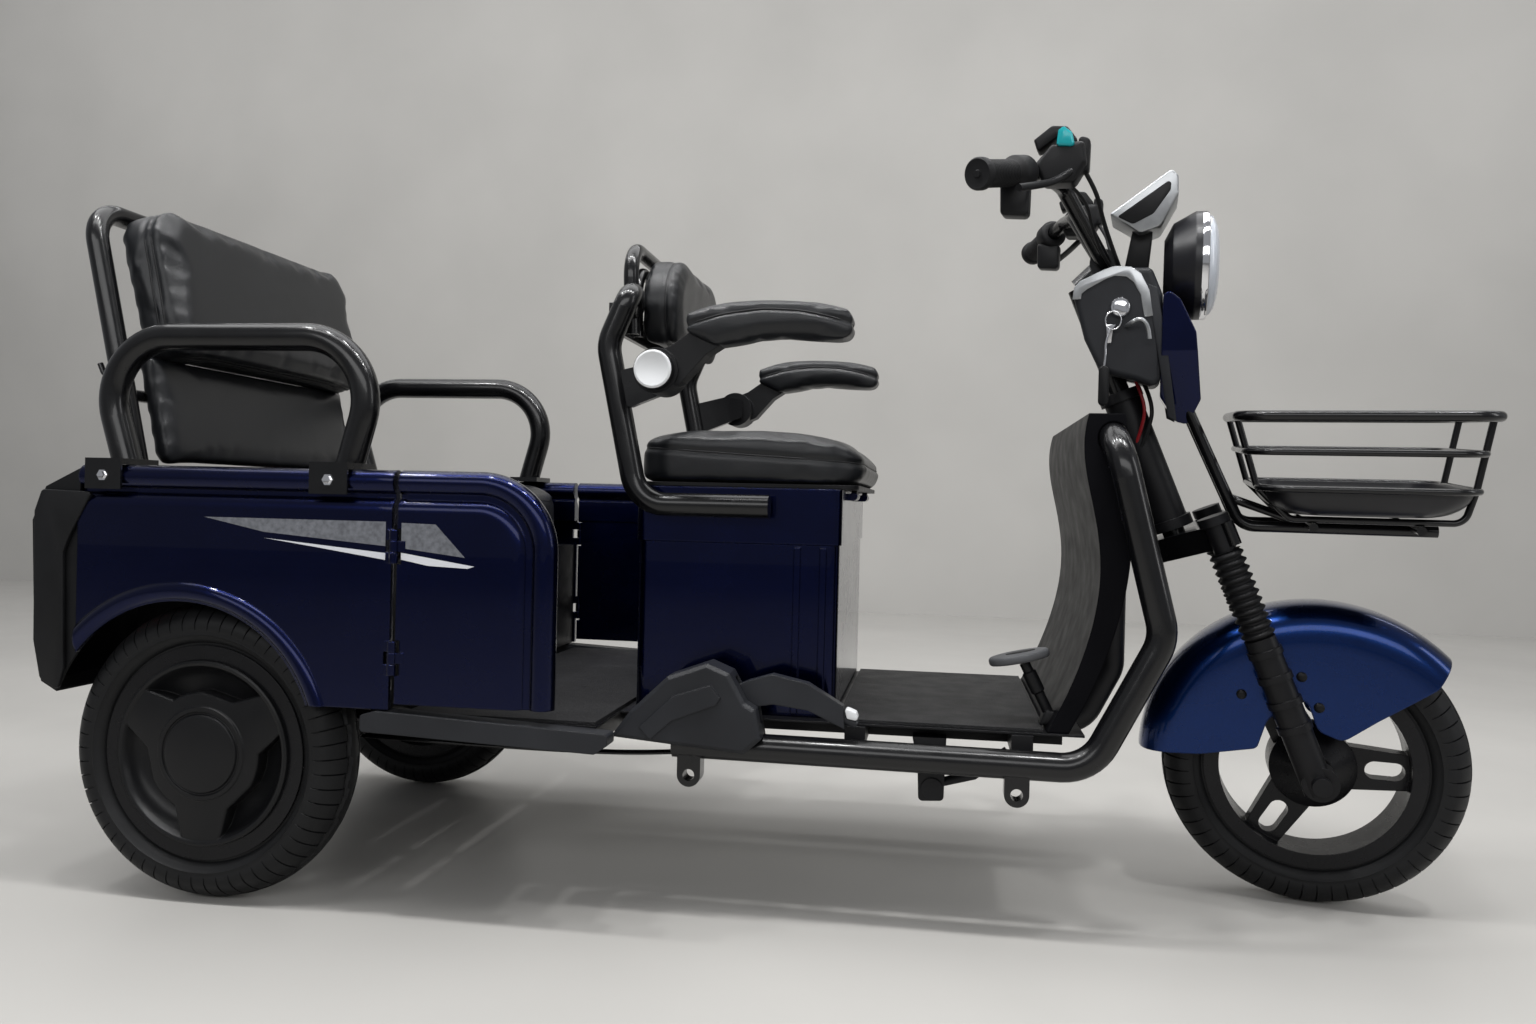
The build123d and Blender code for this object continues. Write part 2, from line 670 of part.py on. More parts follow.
def basket_frame():
    """Rim, two rails and the two hoops that run down, under and up again."""
    frame = None
    for index, row in enumerate(BASKET_RAILS[:3]):
        back, front, half, z = basket_level(row)
        ring = FilletPolyline((back, half, z), (front, half, z), (front, -half, z),
                              (back, -half, z), radius=42, close=True)
        radius = RIM_TUBE_R if index == 0 else RAIL_R
        rail = sweep(Plane(ring @ 0, z_dir=ring % 0) * Circle(radius), path=ring)
        frame = rail if frame is None else frame + rail
    rim, low, base = (basket_level(BASKET_RAILS[i]) for i in (0, 2, 3))
    for y in (-HOOP_Y, HOOP_Y):
        frame += rod([(rim[0], y, rim[3]), (low[0], y, low[3]), (base[0], y, base[3]),
                      (base[1], y, base[3]), (low[1], y, low[3]), (rim[1], y, rim[3])], RAIL_R, 18)
    return frame


def basket_tray():
    """Deep sheet tray that lies on the hoops, up to the lowest rail."""
    low, base = (basket_level(BASKET_RAILS[i]) for i in (2, 3))
    floor = (base[0] + 31, base[1] - 40, base[2] - 27, base[3] + RAIL_R + SEAT)
    brim = (low[0] + 35, low[1] - 12, low[2] - 12, low[3] - RAIL_R)

    def level(edge, wall, lift):
        size = Rectangle(edge[1] - edge[0] - 2 * wall, 2 * (edge[2] - wall))
        return Pos((edge[0] + edge[1]) / 2, 0, edge[3] + lift) * size

    tray = loft([level(floor, 0, 0), level(brim, 0, 0)])
    return tray - loft([level(floor, TRAY_T, TRAY_T), level(brim, TRAY_T, TRAY_T)])


def basket_support():
    """Twin tubes from the yoke forward under the basket, with ties under its hoops."""
    base = basket_level(BASKET_RAILS[3])
    z = base[3] - RAIL_R - CARRIER_R - TIE_PROUD
    y = CARRIER_Y
    tube = rod([(AXIS_X + 108, y, AXIS_Z - 50), (AXIS_X + 171.4, y, z), (base[1] - 20, y, z)],
               CARRIER_R, 30)
    strut = bar((AXIS_X + 164, y, z + 36), (base[0] + 6, y, base[3] - RAIL_R - SEAT), 5)
    carrier = pair(tube + strut)
    level = base[3] - RAIL_R - SEAT - TIE_R
    for x in (base[0] + 30, base[1] - 50):
        carrier += bar((x, -HOOP_Y - TIE_R, level), (x, HOOP_Y + TIE_R, level), TIE_R)
    return carrier


# Frame, floor and leg shield
def down_tube(radius):
    """Bent tube from the steering head down under the floor."""
    x = AXIS_X - 4
    points = [axis_at(AXIS_Z - 60), (x, 0, AXIS_Z - 150), (x, 0, FLOOR_Z + 55),
              (AXIS_X - 46, 0, DOWN_Z), (AXIS_X - 190, 0, DOWN_Z)]
    return rod(points, radius, DOWN_BEND)


def head_tube():
    """Steering head with bearing cups, on its bent down tube."""
    low = axis_at(HEAD_LOW_Z)
    head = bar(low, axis_at(AXIS_Z), HEAD_TUBE_R)
    head += bar(axis_at(AXIS_Z - 10), axis_at(AXIS_Z + 4), HEAD_TUBE_R + 5)
    head += bar(low, axis_at(HEAD_LOW_Z + 14), HEAD_TUBE_R + 5)
    bore = bar(axis_at(HEAD_LOW_Z - 40), axis_at(AXIS_Z + 40), STEERER_R + FIT)
    return head + down_tube(DOWN_R) - bore


def cross_member(x, inner, outer):
    """Square cross member at X, between two distances to the left."""
    low, high = CHASSIS_Z - CHASSIS_H / 2, CHASSIS_Z + CHASSIS_H / 2
    return block((x - CHASSIS_W / 2, inner, low), (x + CHASSIS_W / 2, outer, high))


def main_frame():
    """Two chassis rails under the floor with their cross members."""
    rail = block((BODY_BACK_X, CHASSIS_Y - CHASSIS_W / 2, CHASSIS_Z - CHASSIS_H / 2),
                 (FLOOR_FRONT_X - 20, CHASSIS_Y + CHASSIS_W / 2, CHASSIS_Z + CHASSIS_H / 2))
    frame = pair(rail)
    spread = LOOP_Y - LOOP_R
    body = TUB_HALF - 36
    steps = FLOOR_SIDE - 11
    for x, reach in ((CHASSIS_W / 2 - SPRING_REACH, body), (SPRING_REACH, body),
                     (DOOR_HINGE_X + 17, steps), (DOOR_FRONT_X + 30, steps),
                     (BOX_FRONT_X - 130, spread), (BOX_FRONT_X + 30, spread)):
        frame += cross_member(x, -reach, reach)
    frame += pair(cross_member(AXIS_X - 150, DOWN_R + 1, spread))
    loop = bar((LOOP_BACK_X - 10, LOOP_Y, LOOP_LOW_Z), (AXIS_X, LOOP_Y, LOOP_LOW_Z), LOOP_R + SEAT)
    return frame - pair(loop)


def loop_front():
    """Left half of the loop tube's upright run, from the floor's front to the top."""
    return [(AXIS_X - 66, LOOP_Y, LOOP_LOW_Z - 4), (AXIS_X + 22, LOOP_Y, FLOOR_Z + 129),
            (AXIS_X - 44, LOOP_Y, LOOP_TOP_Z)]


def side_loops():
    """One bent tube round the floor's sides and the leg shield, with its bored hanging lugs."""
    left = [(LOOP_BACK_X, LOOP_Y, LOOP_LOW_Z)] + loop_front()
    right = [(x, -y, z) for x, y, z in reversed(left)]
    return rod(left + right, LOOP_R, LOOP_BEND) + hanging_lugs()


def hanging_lugs():
    """Round-ended lugs under the loop tubes, each bored across."""
    low_z = LOOP_LOW_Z - LUG_DROP
    lugs = None
    for x in (BOX_FRONT_X - 190, AXIS_X - 158):
        lug = outline([(x - LUG_R, low_z), (x + LUG_R, low_z), (x + LUG_R, LOOP_LOW_Z),
                       (x - LUG_R, LOOP_LOW_Z)])
        lug += Pos(x, low_z) * Circle(LUG_R)
        lug -= Pos(x, low_z) * Circle(LUG_BORE_R)
        solid = plate(lug, LOOP_Y - LUG_T / 2, LOOP_Y + LUG_T / 2)
        lugs = solid if lugs is None else lugs + solid
    return pair(lugs)


def floor_pan():
    """Sheet floor, wide between the doors and narrow at the driver's feet."""
    wide = FLOOR_SIDE
    step = BOX_BACK_X - 12
    points = [(DOOR_HINGE_X, -wide), (step, -wide), (step, -FLOOR_W / 2),
              (FLOOR_FRONT_X, -FLOOR_W / 2), (FLOOR_FRONT_X, FLOOR_W / 2),
              (step, FLOOR_W / 2), (step, wide), (DOOR_HINGE_X, wide)]
    return extrude(Pos(0, 0, FLOOR_LOW - PAN_T) * outline(points), PAN_T, dir=(0, 0, 1))


def floor_mats():
    """Ribbed rubber mats at the driver's feet and between the doors."""
    wide = FLOOR_SIDE - 2
    narrow = FLOOR_W / 2 - 4
    front = block((BOX_FRONT_X + 4, -narrow, FLOOR_LOW), (AXIS_X - 122, narrow, FLOOR_Z))
    rear = block((DOOR_HINGE_X + 4, -wide, FLOOR_LOW), (BOX_BACK_X - 14, wide, FLOOR_Z))
    return front + rear


def step_trims():
    """Moulded sills under the doors."""
    back, front = DOOR_HINGE_X - 42, DOOR_FRONT_X + 77
    low = BODY_LOW_Z - 30
    trim = outline([(back, low), (front - 17, low - 12), (front, low), (front, low + 14),
                    (back + 21, low + 28), (back, low + 22)], 5)
    return pair(plate(trim, FLOOR_SIDE + SEAT, BODY_Y + 2))


def leg_shield():
    """Curved moulded shield inside the loop, with a pocket facing the driver."""
    half = FLOOR_W / 2 - SHIELD_MARGIN
    rear = shifted([(-90, SEAT), (-42, 110), (-18, 220), (-19, 330), (-28, 422)], AXIS_X, FLOOR_LOW)
    face = shifted([(-74, 422), (-79, 370), (-64, 290), (-55, 220), (-72, 110), (-118, SEAT)],
                   AXIS_X, FLOOR_LOW)
    side = make_face([Spline(*rear), Line(rear[-1], face[0]), Spline(*face), Line(face[-1], rear[0])])
    shield = plate(side, -half, half)
    shield -= block((AXIS_X - 58, -half + 40, FLOOR_LOW + 290), (AXIS_X - 36, half - 40, FLOOR_LOW + 430))
    left = loop_front()[1:]
    right = [(x, -y, z) for x, y, z in reversed(left)]
    return shield - down_tube(DOWN_R + 2) - rod(left + right, LOOP_R + 1, LOOP_BEND)


def brake_pedal():
    """Oval foot pedal on its cranked arm, beside the shield."""
    y = -PEDAL_Y
    pad = Pos(AXIS_X - 153, y, FLOOR_Z + 85) * Rot(0, 35, 0) * extrude(Ellipse(34, 24), 10)
    arm = rod([(AXIS_X - 150, y, FLOOR_Z + 82), (AXIS_X - 134, y, FLOOR_Z + 43),
               (AXIS_X - 134, y, FLOOR_Z + SEAT)], 6, 20)
    return pad + arm


def handbrake_cover():
    """Angular moulded cover on the right-hand loop tube, over the hand-brake's pivot."""
    x, y, z = BOX_BACK_X, -LOOP_Y, LOOP_LOW_Z
    side = [(-9, 10), (173, -4), (195, 16), (187, 56), (173, 64), (151, 102), (121, 114), (67, 94),
            (17, 46)]
    body = plate(outline(shifted(side, x, z)), y - 34, y + 18)
    body = chamfer(body.faces().filter_by(Axis.Y).edges(), 5)
    rib = [(47, 10), (75, 36), (135, 60), (141, 70), (127, 86), (75, 68), (31, 26)]
    body += plate(outline(shifted(rib, x, z)), y - 38, y - 30)
    half = LEVER_T / 2 + SEAT
    mouth = block((x + 151, y - half, z + 34), (x + 205, y + half, z + 94))
    return body - mouth - bar((x + 35, y, z), (AXIS_X, y, z), LOOP_R + SEAT)


def handbrake_lever():
    """Curved lever out of the cover, with its release button."""
    x, y, z = BOX_BACK_X, -LOOP_Y, LOOP_LOW_Z
    side = [(155, 40), (175, 54), (207, 60), (255, 54), (303, 32), (301, 62), (253, 90), (205, 100),
            (173, 90), (155, 82)]
    lever = plate(outline(shifted(side, x, z)), y - LEVER_T / 2, y + LEVER_T / 2)
    return lever + bar((x + 301, y, z + 45), (x + 319, y, z + 37), 6)


def battery_box():
    """Open-topped sheet box on the floor, under the driver's seat."""
    half = BOX_W / 2
    outer = block((BOX_BACK_X, -half, FLOOR_LOW), (BOX_FRONT_X, half, BOX_SEAM_Z))
    outer = fillet(outer.edges().filter_by(Axis.Z), BOX_ROUND)
    for x in (BOX_FRONT_X - 62, BOX_FRONT_X - 26):
        outer += pair(block((x, half - 2, FLOOR_LOW + 4), (x + 9, half + 3, BOX_SEAM_Z - 4)))
    inner = block((BOX_BACK_X + BOX_WALL, -half + BOX_WALL, FLOOR_LOW + BOX_WALL),
                  (BOX_FRONT_X - BOX_WALL, half - BOX_WALL, BOX_SEAM_Z + 1))
    return outer - inner


def seat_base():
    """Collar on the battery box that carries the seat and its front hinge."""
    half = BOX_W / 2 + 3
    collar = block((BOX_BACK_X - 3, -half, BOX_SEAM_Z), (BOX_FRONT_X + 3, half, BOX_TOP_Z))
    collar = fillet(collar.edges().filter_by(Axis.Z), BOX_ROUND)
    collar -= block((BOX_BACK_X + 14, -half + 16, BOX_SEAM_Z - 1),
                    (BOX_FRONT_X - 14, half - 16, BOX_TOP_Z + 1))
    gap = HINGE_LEN / 6 + SEAT
    for y in LID_HINGE_YS:
        leaf = block((BOX_FRONT_X + 2, y - HINGE_LEN / 2, LID_HINGE_Z - HINGE_R),
                     (LID_HINGE_X, y + HINGE_LEN / 2, LID_HINGE_Z + HINGE_R - 2))
        leaf -= block((BOX_FRONT_X + 3, y - gap, LID_HINGE_Z - 20),
                      (LID_HINGE_X + 9, y + gap, LID_HINGE_Z + 20))
        collar += leaf + hinge_ends((LID_HINGE_X, y, LID_HINGE_Z), (0, 1, 0))
    return collar


def seat_pan():
    """Moulded pan under the cushion, with the lid's knuckles at its front."""
    half = CUSHION_W / 2 - 8
    low = BOX_TOP_Z + SEAT * 2
    pan = block((BOX_BACK_X - 3, -half, low), (BOX_FRONT_X + 24, half, low + PAN_LID_T))
    pan = fillet(pan.edges().filter_by(Axis.Z), 24)
    width = HINGE_LEN / 6
    for y in LID_HINGE_YS:
        middle = (LID_HINGE_X, y, LID_HINGE_Z)
        ear = block((LID_HINGE_X - 4, y - width, LID_HINGE_Z), (LID_HINGE_X + 4, y + width, low + 2))
        pan += hinge_knuckle(middle, (0, 1, 0)) + (ear - hinge_bore(middle, (0, 1, 0)))
    return pan


def driver_cushion():
    """Crowned seat cushion with a rounded front lip."""
    half = CUSHION_W / 2
    low = BOX_TOP_Z + SEAT * 3 + PAN_LID_T
    top = low + CUSHION_T
    back = BOX_BACK_X - 9
    front = BOX_FRONT_X + 34
    side = outline([(back, low), (front - 12, low), (front, low + 18), (front - 6, low + 42),
                    (front - 60, top - 4), (front - 140, top), (back + 20, top - 6),
                    (back, top - 22)], 5)
    return plate(side, -half, half)


def driver_seat_frame():
    """Bent side tubes, their bosses on the box, the cross plate and the back's own hoops."""
    x, y, z = BOX_BACK_X, SEAT_TUBE_Y, BOX_TOP_Z
    side = rod([(x + 191, y, SEAT_TUBE_Z), (x + 6, y, SEAT_TUBE_Z), (x - 41, y, z + 195),
                (x - 19, y, z + 247)], SEAT_TUBE_R, 50)
    gap = BOX_W / 2 + 3 + SEAT
    for boss in (x + 67, x + 165):
        side += bar((boss, gap, SEAT_TUBE_Z), (boss, y, SEAT_TUBE_Z), 11)
    web = outline([(x - 25, ARM_PIVOT_Z - 35), (x - 5, ARM_PIVOT_Z - 43),
                   (ARM_PIVOT_X + 16, ARM_PIVOT_Z - 16), (ARM_PIVOT_X + 16, ARM_PIVOT_Z + 16),
                   (ARM_PIVOT_X - 16, ARM_PIVOT_Z + 20), (x - 31, ARM_PIVOT_Z + 5)], 6)
    side += plate(web, y - 4, y + 10)
    side += bar((ARM_PIVOT_X, y, ARM_PIVOT_Z), (ARM_PIVOT_X, ARM_IN_Y + ARM_W + 4, ARM_PIVOT_Z),
                ARM_PIN_R)
    frame = pair(side) + block((x - 41, -y, z + 215), (x - 33, y, z + 253))
    wide, narrow = BACK_PAD_HALF + 10, BACK_PAD_HALF - 18
    frame += rod([(x - 29, wide, z + 221), (x - 33, wide + 4, z + 350), (x - 33, -wide - 4, z + 350),
                  (x - 29, -wide, z + 221)], 11, 46)
    return frame + rod([(x - 29, narrow, z + 221), (x - 31, narrow + 4, z + 321),
                        (x - 31, -narrow - 4, z + 321), (x - 29, -narrow, z + 221)], 9, 40)


def driver_backrest():
    """Padded back on the hoops."""
    rear = SEAT - 20
    side = [(rear, 215), (31, 231), (35, 261), (23, 333), (7, 341), (rear, 335)]
    return plate(outline(shifted(side, BOX_BACK_X, BOX_TOP_Z), 5), -BACK_PAD_HALF, BACK_PAD_HALF)


def armrest_arm():
    """Left arm: a drum on the pivot pin and the curved link up to the pad."""
    x, z = ARM_PIVOT_X, ARM_PIVOT_Z
    inner, outer = ARM_IN_Y, ARM_IN_Y + ARM_W
    drum = bar((x, inner - 10, z), (x, outer - 6, z), ARM_DRUM_R)
    link = outline([(x + 4, z - 26), (x + 34, z - 14), (x + 66, z + 22), (x + 100, z + 44),
                    (x + 250, z + 48), (x + 250, z + 58), (x + 60, z + 62), (x + 20, z + 34),
                    (x - 8, z + 22)])
    arm = drum + plate(link, inner + 12, outer - 12)
    cap = bar((x, outer - 6, z), (x, outer + 8, z), ARM_DRUM_R - 4)
    pin = bar((x, inner - 40, z), (x, outer + 4.5, z), ARM_PIN_R + FIT)
    return arm + cap - pin


def armrest_pad():
    """Left pad: a curved, round-ended cushion on the link."""
    x, z = ARM_PIVOT_X, ARM_PIVOT_Z
    side = outline([(x + 34, z + 62 + SEAT), (x + 60, z + 62 + SEAT), (x + 252, z + 58 + SEAT),
                    (x + 252, z + 40), (x + 264, z + 44), (x + 262, z + 82), (x + 190, z + 96),
                    (x + 100, z + 96), (x + 44, z + 86)], 3)
    return plate(side, ARM_IN_Y, ARM_IN_Y + ARM_W)


# Rear body
def outboard(shape):
    """The outer part of a rolled edge, from just inside the rail's middle."""
    reach = BODY_Y + 100
    return shape & block((-reach * 3, ROLL_Y - 8, 0), (reach * 3, reach, RAIL_TOP_Z + 100))


def body_side():
    """Pressed side with its rail, rolled shoulder and wheel arch, and the fixed hinge barrels."""
    edge = DOOR_HINGE_X - DOOR_GAP / 2
    whole = outline([(BODY_BACK_X, BODY_LOW_Z), (edge, BODY_LOW_Z), (edge, SHOULDER_Z),
                     (BODY_BACK_X, SHOULDER_Z)])
    panel = plate(whole - Pos(ARCH_X, ARCH_Z) * Circle(ARCH_R), PANEL_IN, BODY_Y)
    ring = Plane.YZ * Pos(BODY_Y + LIP_PROUD - LIP_R, ARCH_R + LIP_R) * Circle(LIP_R)
    lip = Pos(ARCH_X, 0, ARCH_Z) * revolve(ring, Axis.Y)
    panel += lip & plate(whole, PANEL_IN, BODY_Y + LIP_R)
    panel += bar((BODY_BACK_X, ROLL_Y, ROLL_Z), (edge, ROLL_Y, ROLL_Z), RAIL_ROLL_R)
    panel += outboard(bar((BODY_BACK_X, SHOULDER_Y, SHOULDER_Z), (edge, SHOULDER_Y, SHOULDER_Z),
                          SHOULDER_R))
    panel += block((BODY_BACK_X, ROLL_Y - WEB_T / 2, SHOULDER_Z), (edge, ROLL_Y + WEB_T / 2, ROLL_Z))
    gap = HINGE_LEN / 6 + 1
    for z in DOOR_HINGE_ZS:
        panel -= block((edge - 8, PANEL_IN - 40, z - gap), (edge + 9, BODY_Y + 20, z + gap))
        leaf = block((edge - 6, BODY_Y - 4, z - HINGE_LEN / 2),
                     (DOOR_HINGE_X, BODY_Y + 1, z + HINGE_LEN / 2))
        leaf -= block((edge - 8, BODY_Y - 20, z - gap), (edge + 20, BODY_Y + 20, z + gap))
        panel += leaf + hinge_ends((DOOR_HINGE_X, HINGE_Y, z), (0, 0, 1))
    return panel


def door_outline(inset):
    """Door's side view, with a large radius at its upper front corner."""
    back = DOOR_HINGE_X + DOOR_GAP / 2
    low = BODY_LOW_Z + DOOR_LIFT
    front = DOOR_FRONT_X - inset
    top = ROLL_Z + RAIL_ROLL_R - inset
    shape = outline([(back, low), (front, low), (front, top), (back, top)])
    corner = shape.vertices().sort_by(lambda v: v.X + v.Y)[-1]
    return fillet(corner, DOOR_BEND_R + RAIL_ROLL_R - inset)


def door_roll(inset, y, radius):
    """Rolled bar that follows the door's top and front edges, set in from them."""
    back = DOOR_HINGE_X + DOOR_GAP / 2
    front = DOOR_FRONT_X - inset
    top = RAIL_TOP_Z - inset
    return rod([(back, y, top), (front, y, top), (front, y, BODY_LOW_Z + DOOR_LIFT)], radius,
               DOOR_BEND_R + RAIL_ROLL_R - inset)


def door():
    """Left door's outer pressing with its rolled edges and the moving hinge barrels."""
    back = DOOR_HINGE_X + DOOR_GAP / 2
    inset = RAIL_ROLL_R + SHOULDER_DROP
    skin = plate(door_outline(inset), PANEL_IN, BODY_Y)
    skin += plate(door_outline(RAIL_ROLL_R), ROLL_Y - WEB_T / 2, ROLL_Y + WEB_T / 2)
    skin += door_roll(RAIL_ROLL_R, ROLL_Y, RAIL_ROLL_R)
    skin += outboard(door_roll(inset, SHOULDER_Y, SHOULDER_R))
    width = HINGE_LEN / 6
    for z in DOOR_HINGE_ZS:
        middle = (DOOR_HINGE_X, HINGE_Y, z)
        skin -= block((back - 8, PANEL_IN - 40, z - HINGE_LEN / 2 - 1),
                      (back + 6, BODY_Y + 20, z + HINGE_LEN / 2 + 1))
        leaf = block((DOOR_HINGE_X, BODY_Y - 4, z - width), (back + 12, BODY_Y + 1, z + width))
        skin += (leaf - hinge_bore(middle, (0, 0, 1))) + hinge_knuckle(middle, (0, 0, 1))
    return skin + door_trim()


def door_trim():
    """Left door's moulded inner panel, behind the skin."""
    inner = PANEL_IN - DOOR_TRIM_T
    panel = plate(door_outline(RAIL_ROLL_R), inner, PANEL_IN)
    for z in (BODY_LOW_Z + 115, RAIL_TOP_Z - 72):
        panel -= block((DOOR_HINGE_X, inner - 1, z - 2), (DOOR_FRONT_X, inner + 2, z + 2))
    edge = DOOR_HINGE_X + DOOR_GAP / 2 + 8
    return panel - block((DOOR_HINGE_X - 10, 0, 0), (edge, BODY_W, RAIL_TOP_Z + 100))


def tail_panel():
    """Angular moulded tail across the body, hollow and open towards the tub."""
    front = BODY_BACK_X - SEAT
    side = outline([(front, BODY_LOW_Z), (front, RAIL_TOP_Z - 6), (TAIL_X + 20, RAIL_TOP_Z - 32),
                    (TAIL_X, RAIL_TOP_Z - 79), (TAIL_X + 6, BODY_LOW_Z + 68),
                    (TAIL_X + 18, BODY_LOW_Z + 13), (TAIL_X + 42, BODY_LOW_Z)])
    solid = plate(side, -BODY_Y + 4, BODY_Y - 4)
    inner = plate(offset(side, -COVER_T), -BODY_Y + 8, BODY_Y - 8)
    solid -= inner + Pos(COVER_T + 4, 0, 0) * inner
    solid -= pair(bar((ARCH_X, TUB_HALF, ARCH_Z), (ARCH_X, BODY_Y + 10, ARCH_Z), ARCH_R))
    return solid - pair(tail_recess(0, TAIL_X - 1, TAIL_X + 14))


def tail_recess(gap, back, front):
    """Box of the left rear lamp, smaller by a gap all round."""
    wide, high = TAIL_LAMP_W / 2 - gap, TAIL_LAMP_H / 2 - gap
    return block((back, TAIL_LAMP_Y - wide, TAIL_LAMP_Z - high),
                 (front, TAIL_LAMP_Y + wide, TAIL_LAMP_Z + high))


def tail_lamps():
    """Rear lamps in the recesses of the tail."""
    return pair(tail_recess(SEAT, TAIL_X + 1, TAIL_X + 13))


def rear_tub():
    """Inner tub between the wheels, with the shelves that close the wheel housings."""
    half = TUB_HALF
    wide = PANEL_IN - SEAT
    low = FLOOR_LOW - PAN_T
    back = BODY_BACK_X + 6
    front = DOOR_HINGE_X - DOOR_GAP
    top = SHELF_Z + TUB_WALL
    tub = block((back, -half, low), (front, half, SHELF_Z))
    tub += block((back, -wide, SHELF_Z), (front, wide, top))
    tub -= block((back + TUB_WALL, -half + TUB_WALL, low + TUB_WALL),
                 (front - TUB_WALL, half - TUB_WALL, top + 1))
    return tub + pair(block((front - TUB_WALL, half - 2, BODY_LOW_Z), (front, wide, SHELF_Z + 2)))


def rear_cushion():
    """Bench cushion on the tub's shelves."""
    low, top = SHELF_TOP, SHELF_TOP + BENCH_T
    back, front = BODY_BACK_X + 62, DOOR_HINGE_X - 5
    side = outline([(back, low), (front - 8, low), (front, low + 30), (front - 6, top - 6),
                    (front - 38, top), (back + 18, top - 4), (back, top - 20)], 4)
    return plate(side, BENCH_IN - BODY_Y, BODY_Y - BENCH_IN)


def leaned(z, y):
    """Point on the rear back's leaning tube."""
    return (BACK_FOOT_X - (z - SHELF_TOP) * tan(radians(BACK_LEAN)), y, z)


def rear_back_frame():
    """Inverted U of tube behind the bench, with a bag hook each side."""
    top = BACK_TOP_Z - BACK_R
    hoop = rod([leaned(SHELF_TOP - 8, BACK_Y), leaned(top, BACK_Y), leaned(top, -BACK_Y),
                leaned(SHELF_TOP - 8, -BACK_Y)], BACK_R, BACK_BEND)
    hoop -= block((TAIL_X - 60, -BODY_Y, SHELF_TOP - 60), (0, BODY_Y, SHELF_TOP))
    level = SHELF_Z + 230
    cross = bar(leaned(level, BACK_Y), leaned(level, -BACK_Y), BACK_CROSS_R)
    x, y = leaned(level, 0)[0], BACK_Y + 4
    hook = rod([(x, y, level + 36), (x - 30, y, level + 26), (x - 38, y, level + 44)], 4, 8)
    return hoop + cross + pair(hook)


def back_pad(low, top, half, thick, gap):
    """Leaning pad in front of the hoop, between two heights."""
    lean = radians(BACK_LEAN)
    rise = (top - low) / cos(lean)
    base = Plane(leaned(low, 0), x_dir=(cos(lean), 0, sin(lean)), z_dir=(0, -1, 0))
    face = outline([(gap, 0), (gap + thick, 8), (gap + thick, rise - 12), (gap + thick - 14, rise),
                    (gap, rise)])
    return Pos(0, half, 0) * extrude(base * face, 2 * half, dir=(0, -1, 0))


def rear_back_upper():
    return back_pad(SHELF_Z + 286, SHELF_Z + 500, BACK_Y - 17, 76, BACK_R + SEAT)


def rear_back_lower():
    return back_pad(SHELF_Z + 124, SHELF_Z + 282, BACK_Y - 21, 34, BACK_CROSS_R + SEAT)


def rear_armrests():
    """Bent tube loops over the rails."""
    foot = RAIL_TOP_Z + SEAT + CLAMP_T - 1
    y = REST_Y
    back, front = CLAMP_XS
    tube = rod([(back, y, foot - 12), (back - 56, y, REST_TOP_Z), (front + 51, y, REST_TOP_Z),
                (front, y, foot - 12)], REST_R, REST_BEND)
    tube -= block((TAIL_X - 100, y - 60, foot - 60), (DOOR_FRONT_X, y + 60, foot))
    return pair(tube) + rail_clamps()


def rail_clamps():
    """Strap clamps that hold the armrest feet on the rails."""
    low = RAIL_TOP_Z + SEAT
    half = CLAMP_W / 2
    clamps = None
    for x in CLAMP_XS:
        strap = block((x - half, REST_Y - 24, low), (x + half, BODY_Y + 4, low + CLAMP_T))
        strap += block((x - half, BODY_Y + SEAT, low - 34), (x + half, BODY_Y + 4, low + CLAMP_T))
        clamps = strap if clamps is None else clamps + strap
    return pair(clamps)


def rear_axle():
    """Axle tube with the drive motor and differential, and the wheel spindles."""
    half = WHEEL_Y - BEAD_W / 2 - 4
    axle = across((0, 0, TYRE_R), AXLE_TUBE_R, 2 * half)
    axle += across((0, 0, TYRE_R), SHAFT_R, 2 * (WHEEL_Y + BEAD_W / 2 - 2))
    axle += across((0, 40, TYRE_R), AXLE_CASE_R, 86)
    axle += across((0, -62, TYRE_R), AXLE_CASE_R - 1, 116)
    drums = pair(across((0, half - DRUM_T / 2, TYRE_R), AXLE_CASE_R + 1, DRUM_T))
    return axle + drums + rear_springs()


def rear_springs():
    """Leaf springs between the axle and the cross members."""
    y = TUB_HALF - 63
    half = SPRING_W / 2
    reach = SPRING_REACH + CHASSIS_W / 2
    top = CHASSIS_Z - CHASSIS_H / 2 - SEAT
    leaf = block((-reach, y - half, top - SPRING_T), (reach, y + half, top))
    saddle = block((-30, y - half, TYRE_R), (30, y + half, top - SPRING_T))
    return pair(leaf + saddle)


def battery_pack():
    """Battery block in the box."""
    half = BOX_W / 2 - BOX_WALL - 12
    low = FLOOR_LOW + BOX_WALL
    return block((BOX_BACK_X + 20, -half, low), (BOX_FRONT_X - 20, half, low + 170))


# Every node, with what it is made from
def placed_wheels():
    """Nodes of the three wheels, each set on its axle."""
    nodes = {"front_tyre": steered(Pos(*FRONT_AXLE) * tyre()),
             "front_rim": steered(Pos(*FRONT_AXLE) * front_rim())}
    for name, side in (("left", 1), ("right", -1)):
        centre = Pos(0, side * WHEEL_Y, TYRE_R)
        nodes["rear_tyre_" + name] = centre * tyre()
        rim, cover = rear_rim(), rear_cover()
        if side < 0:
            rim, cover = mirror(rim, about=Plane.XZ), mirror(cover, about=Plane.XZ)
        nodes["rear_rim_" + name] = centre * rim
        nodes["wheel_cover_" + name] = centre * cover
    return nodes


def left_and_right(name, shape):
    """Two nodes from a left piece and its mirror image."""
    return {name + "_left": shape, name + "_right": mirror(shape, about=Plane.XZ)}


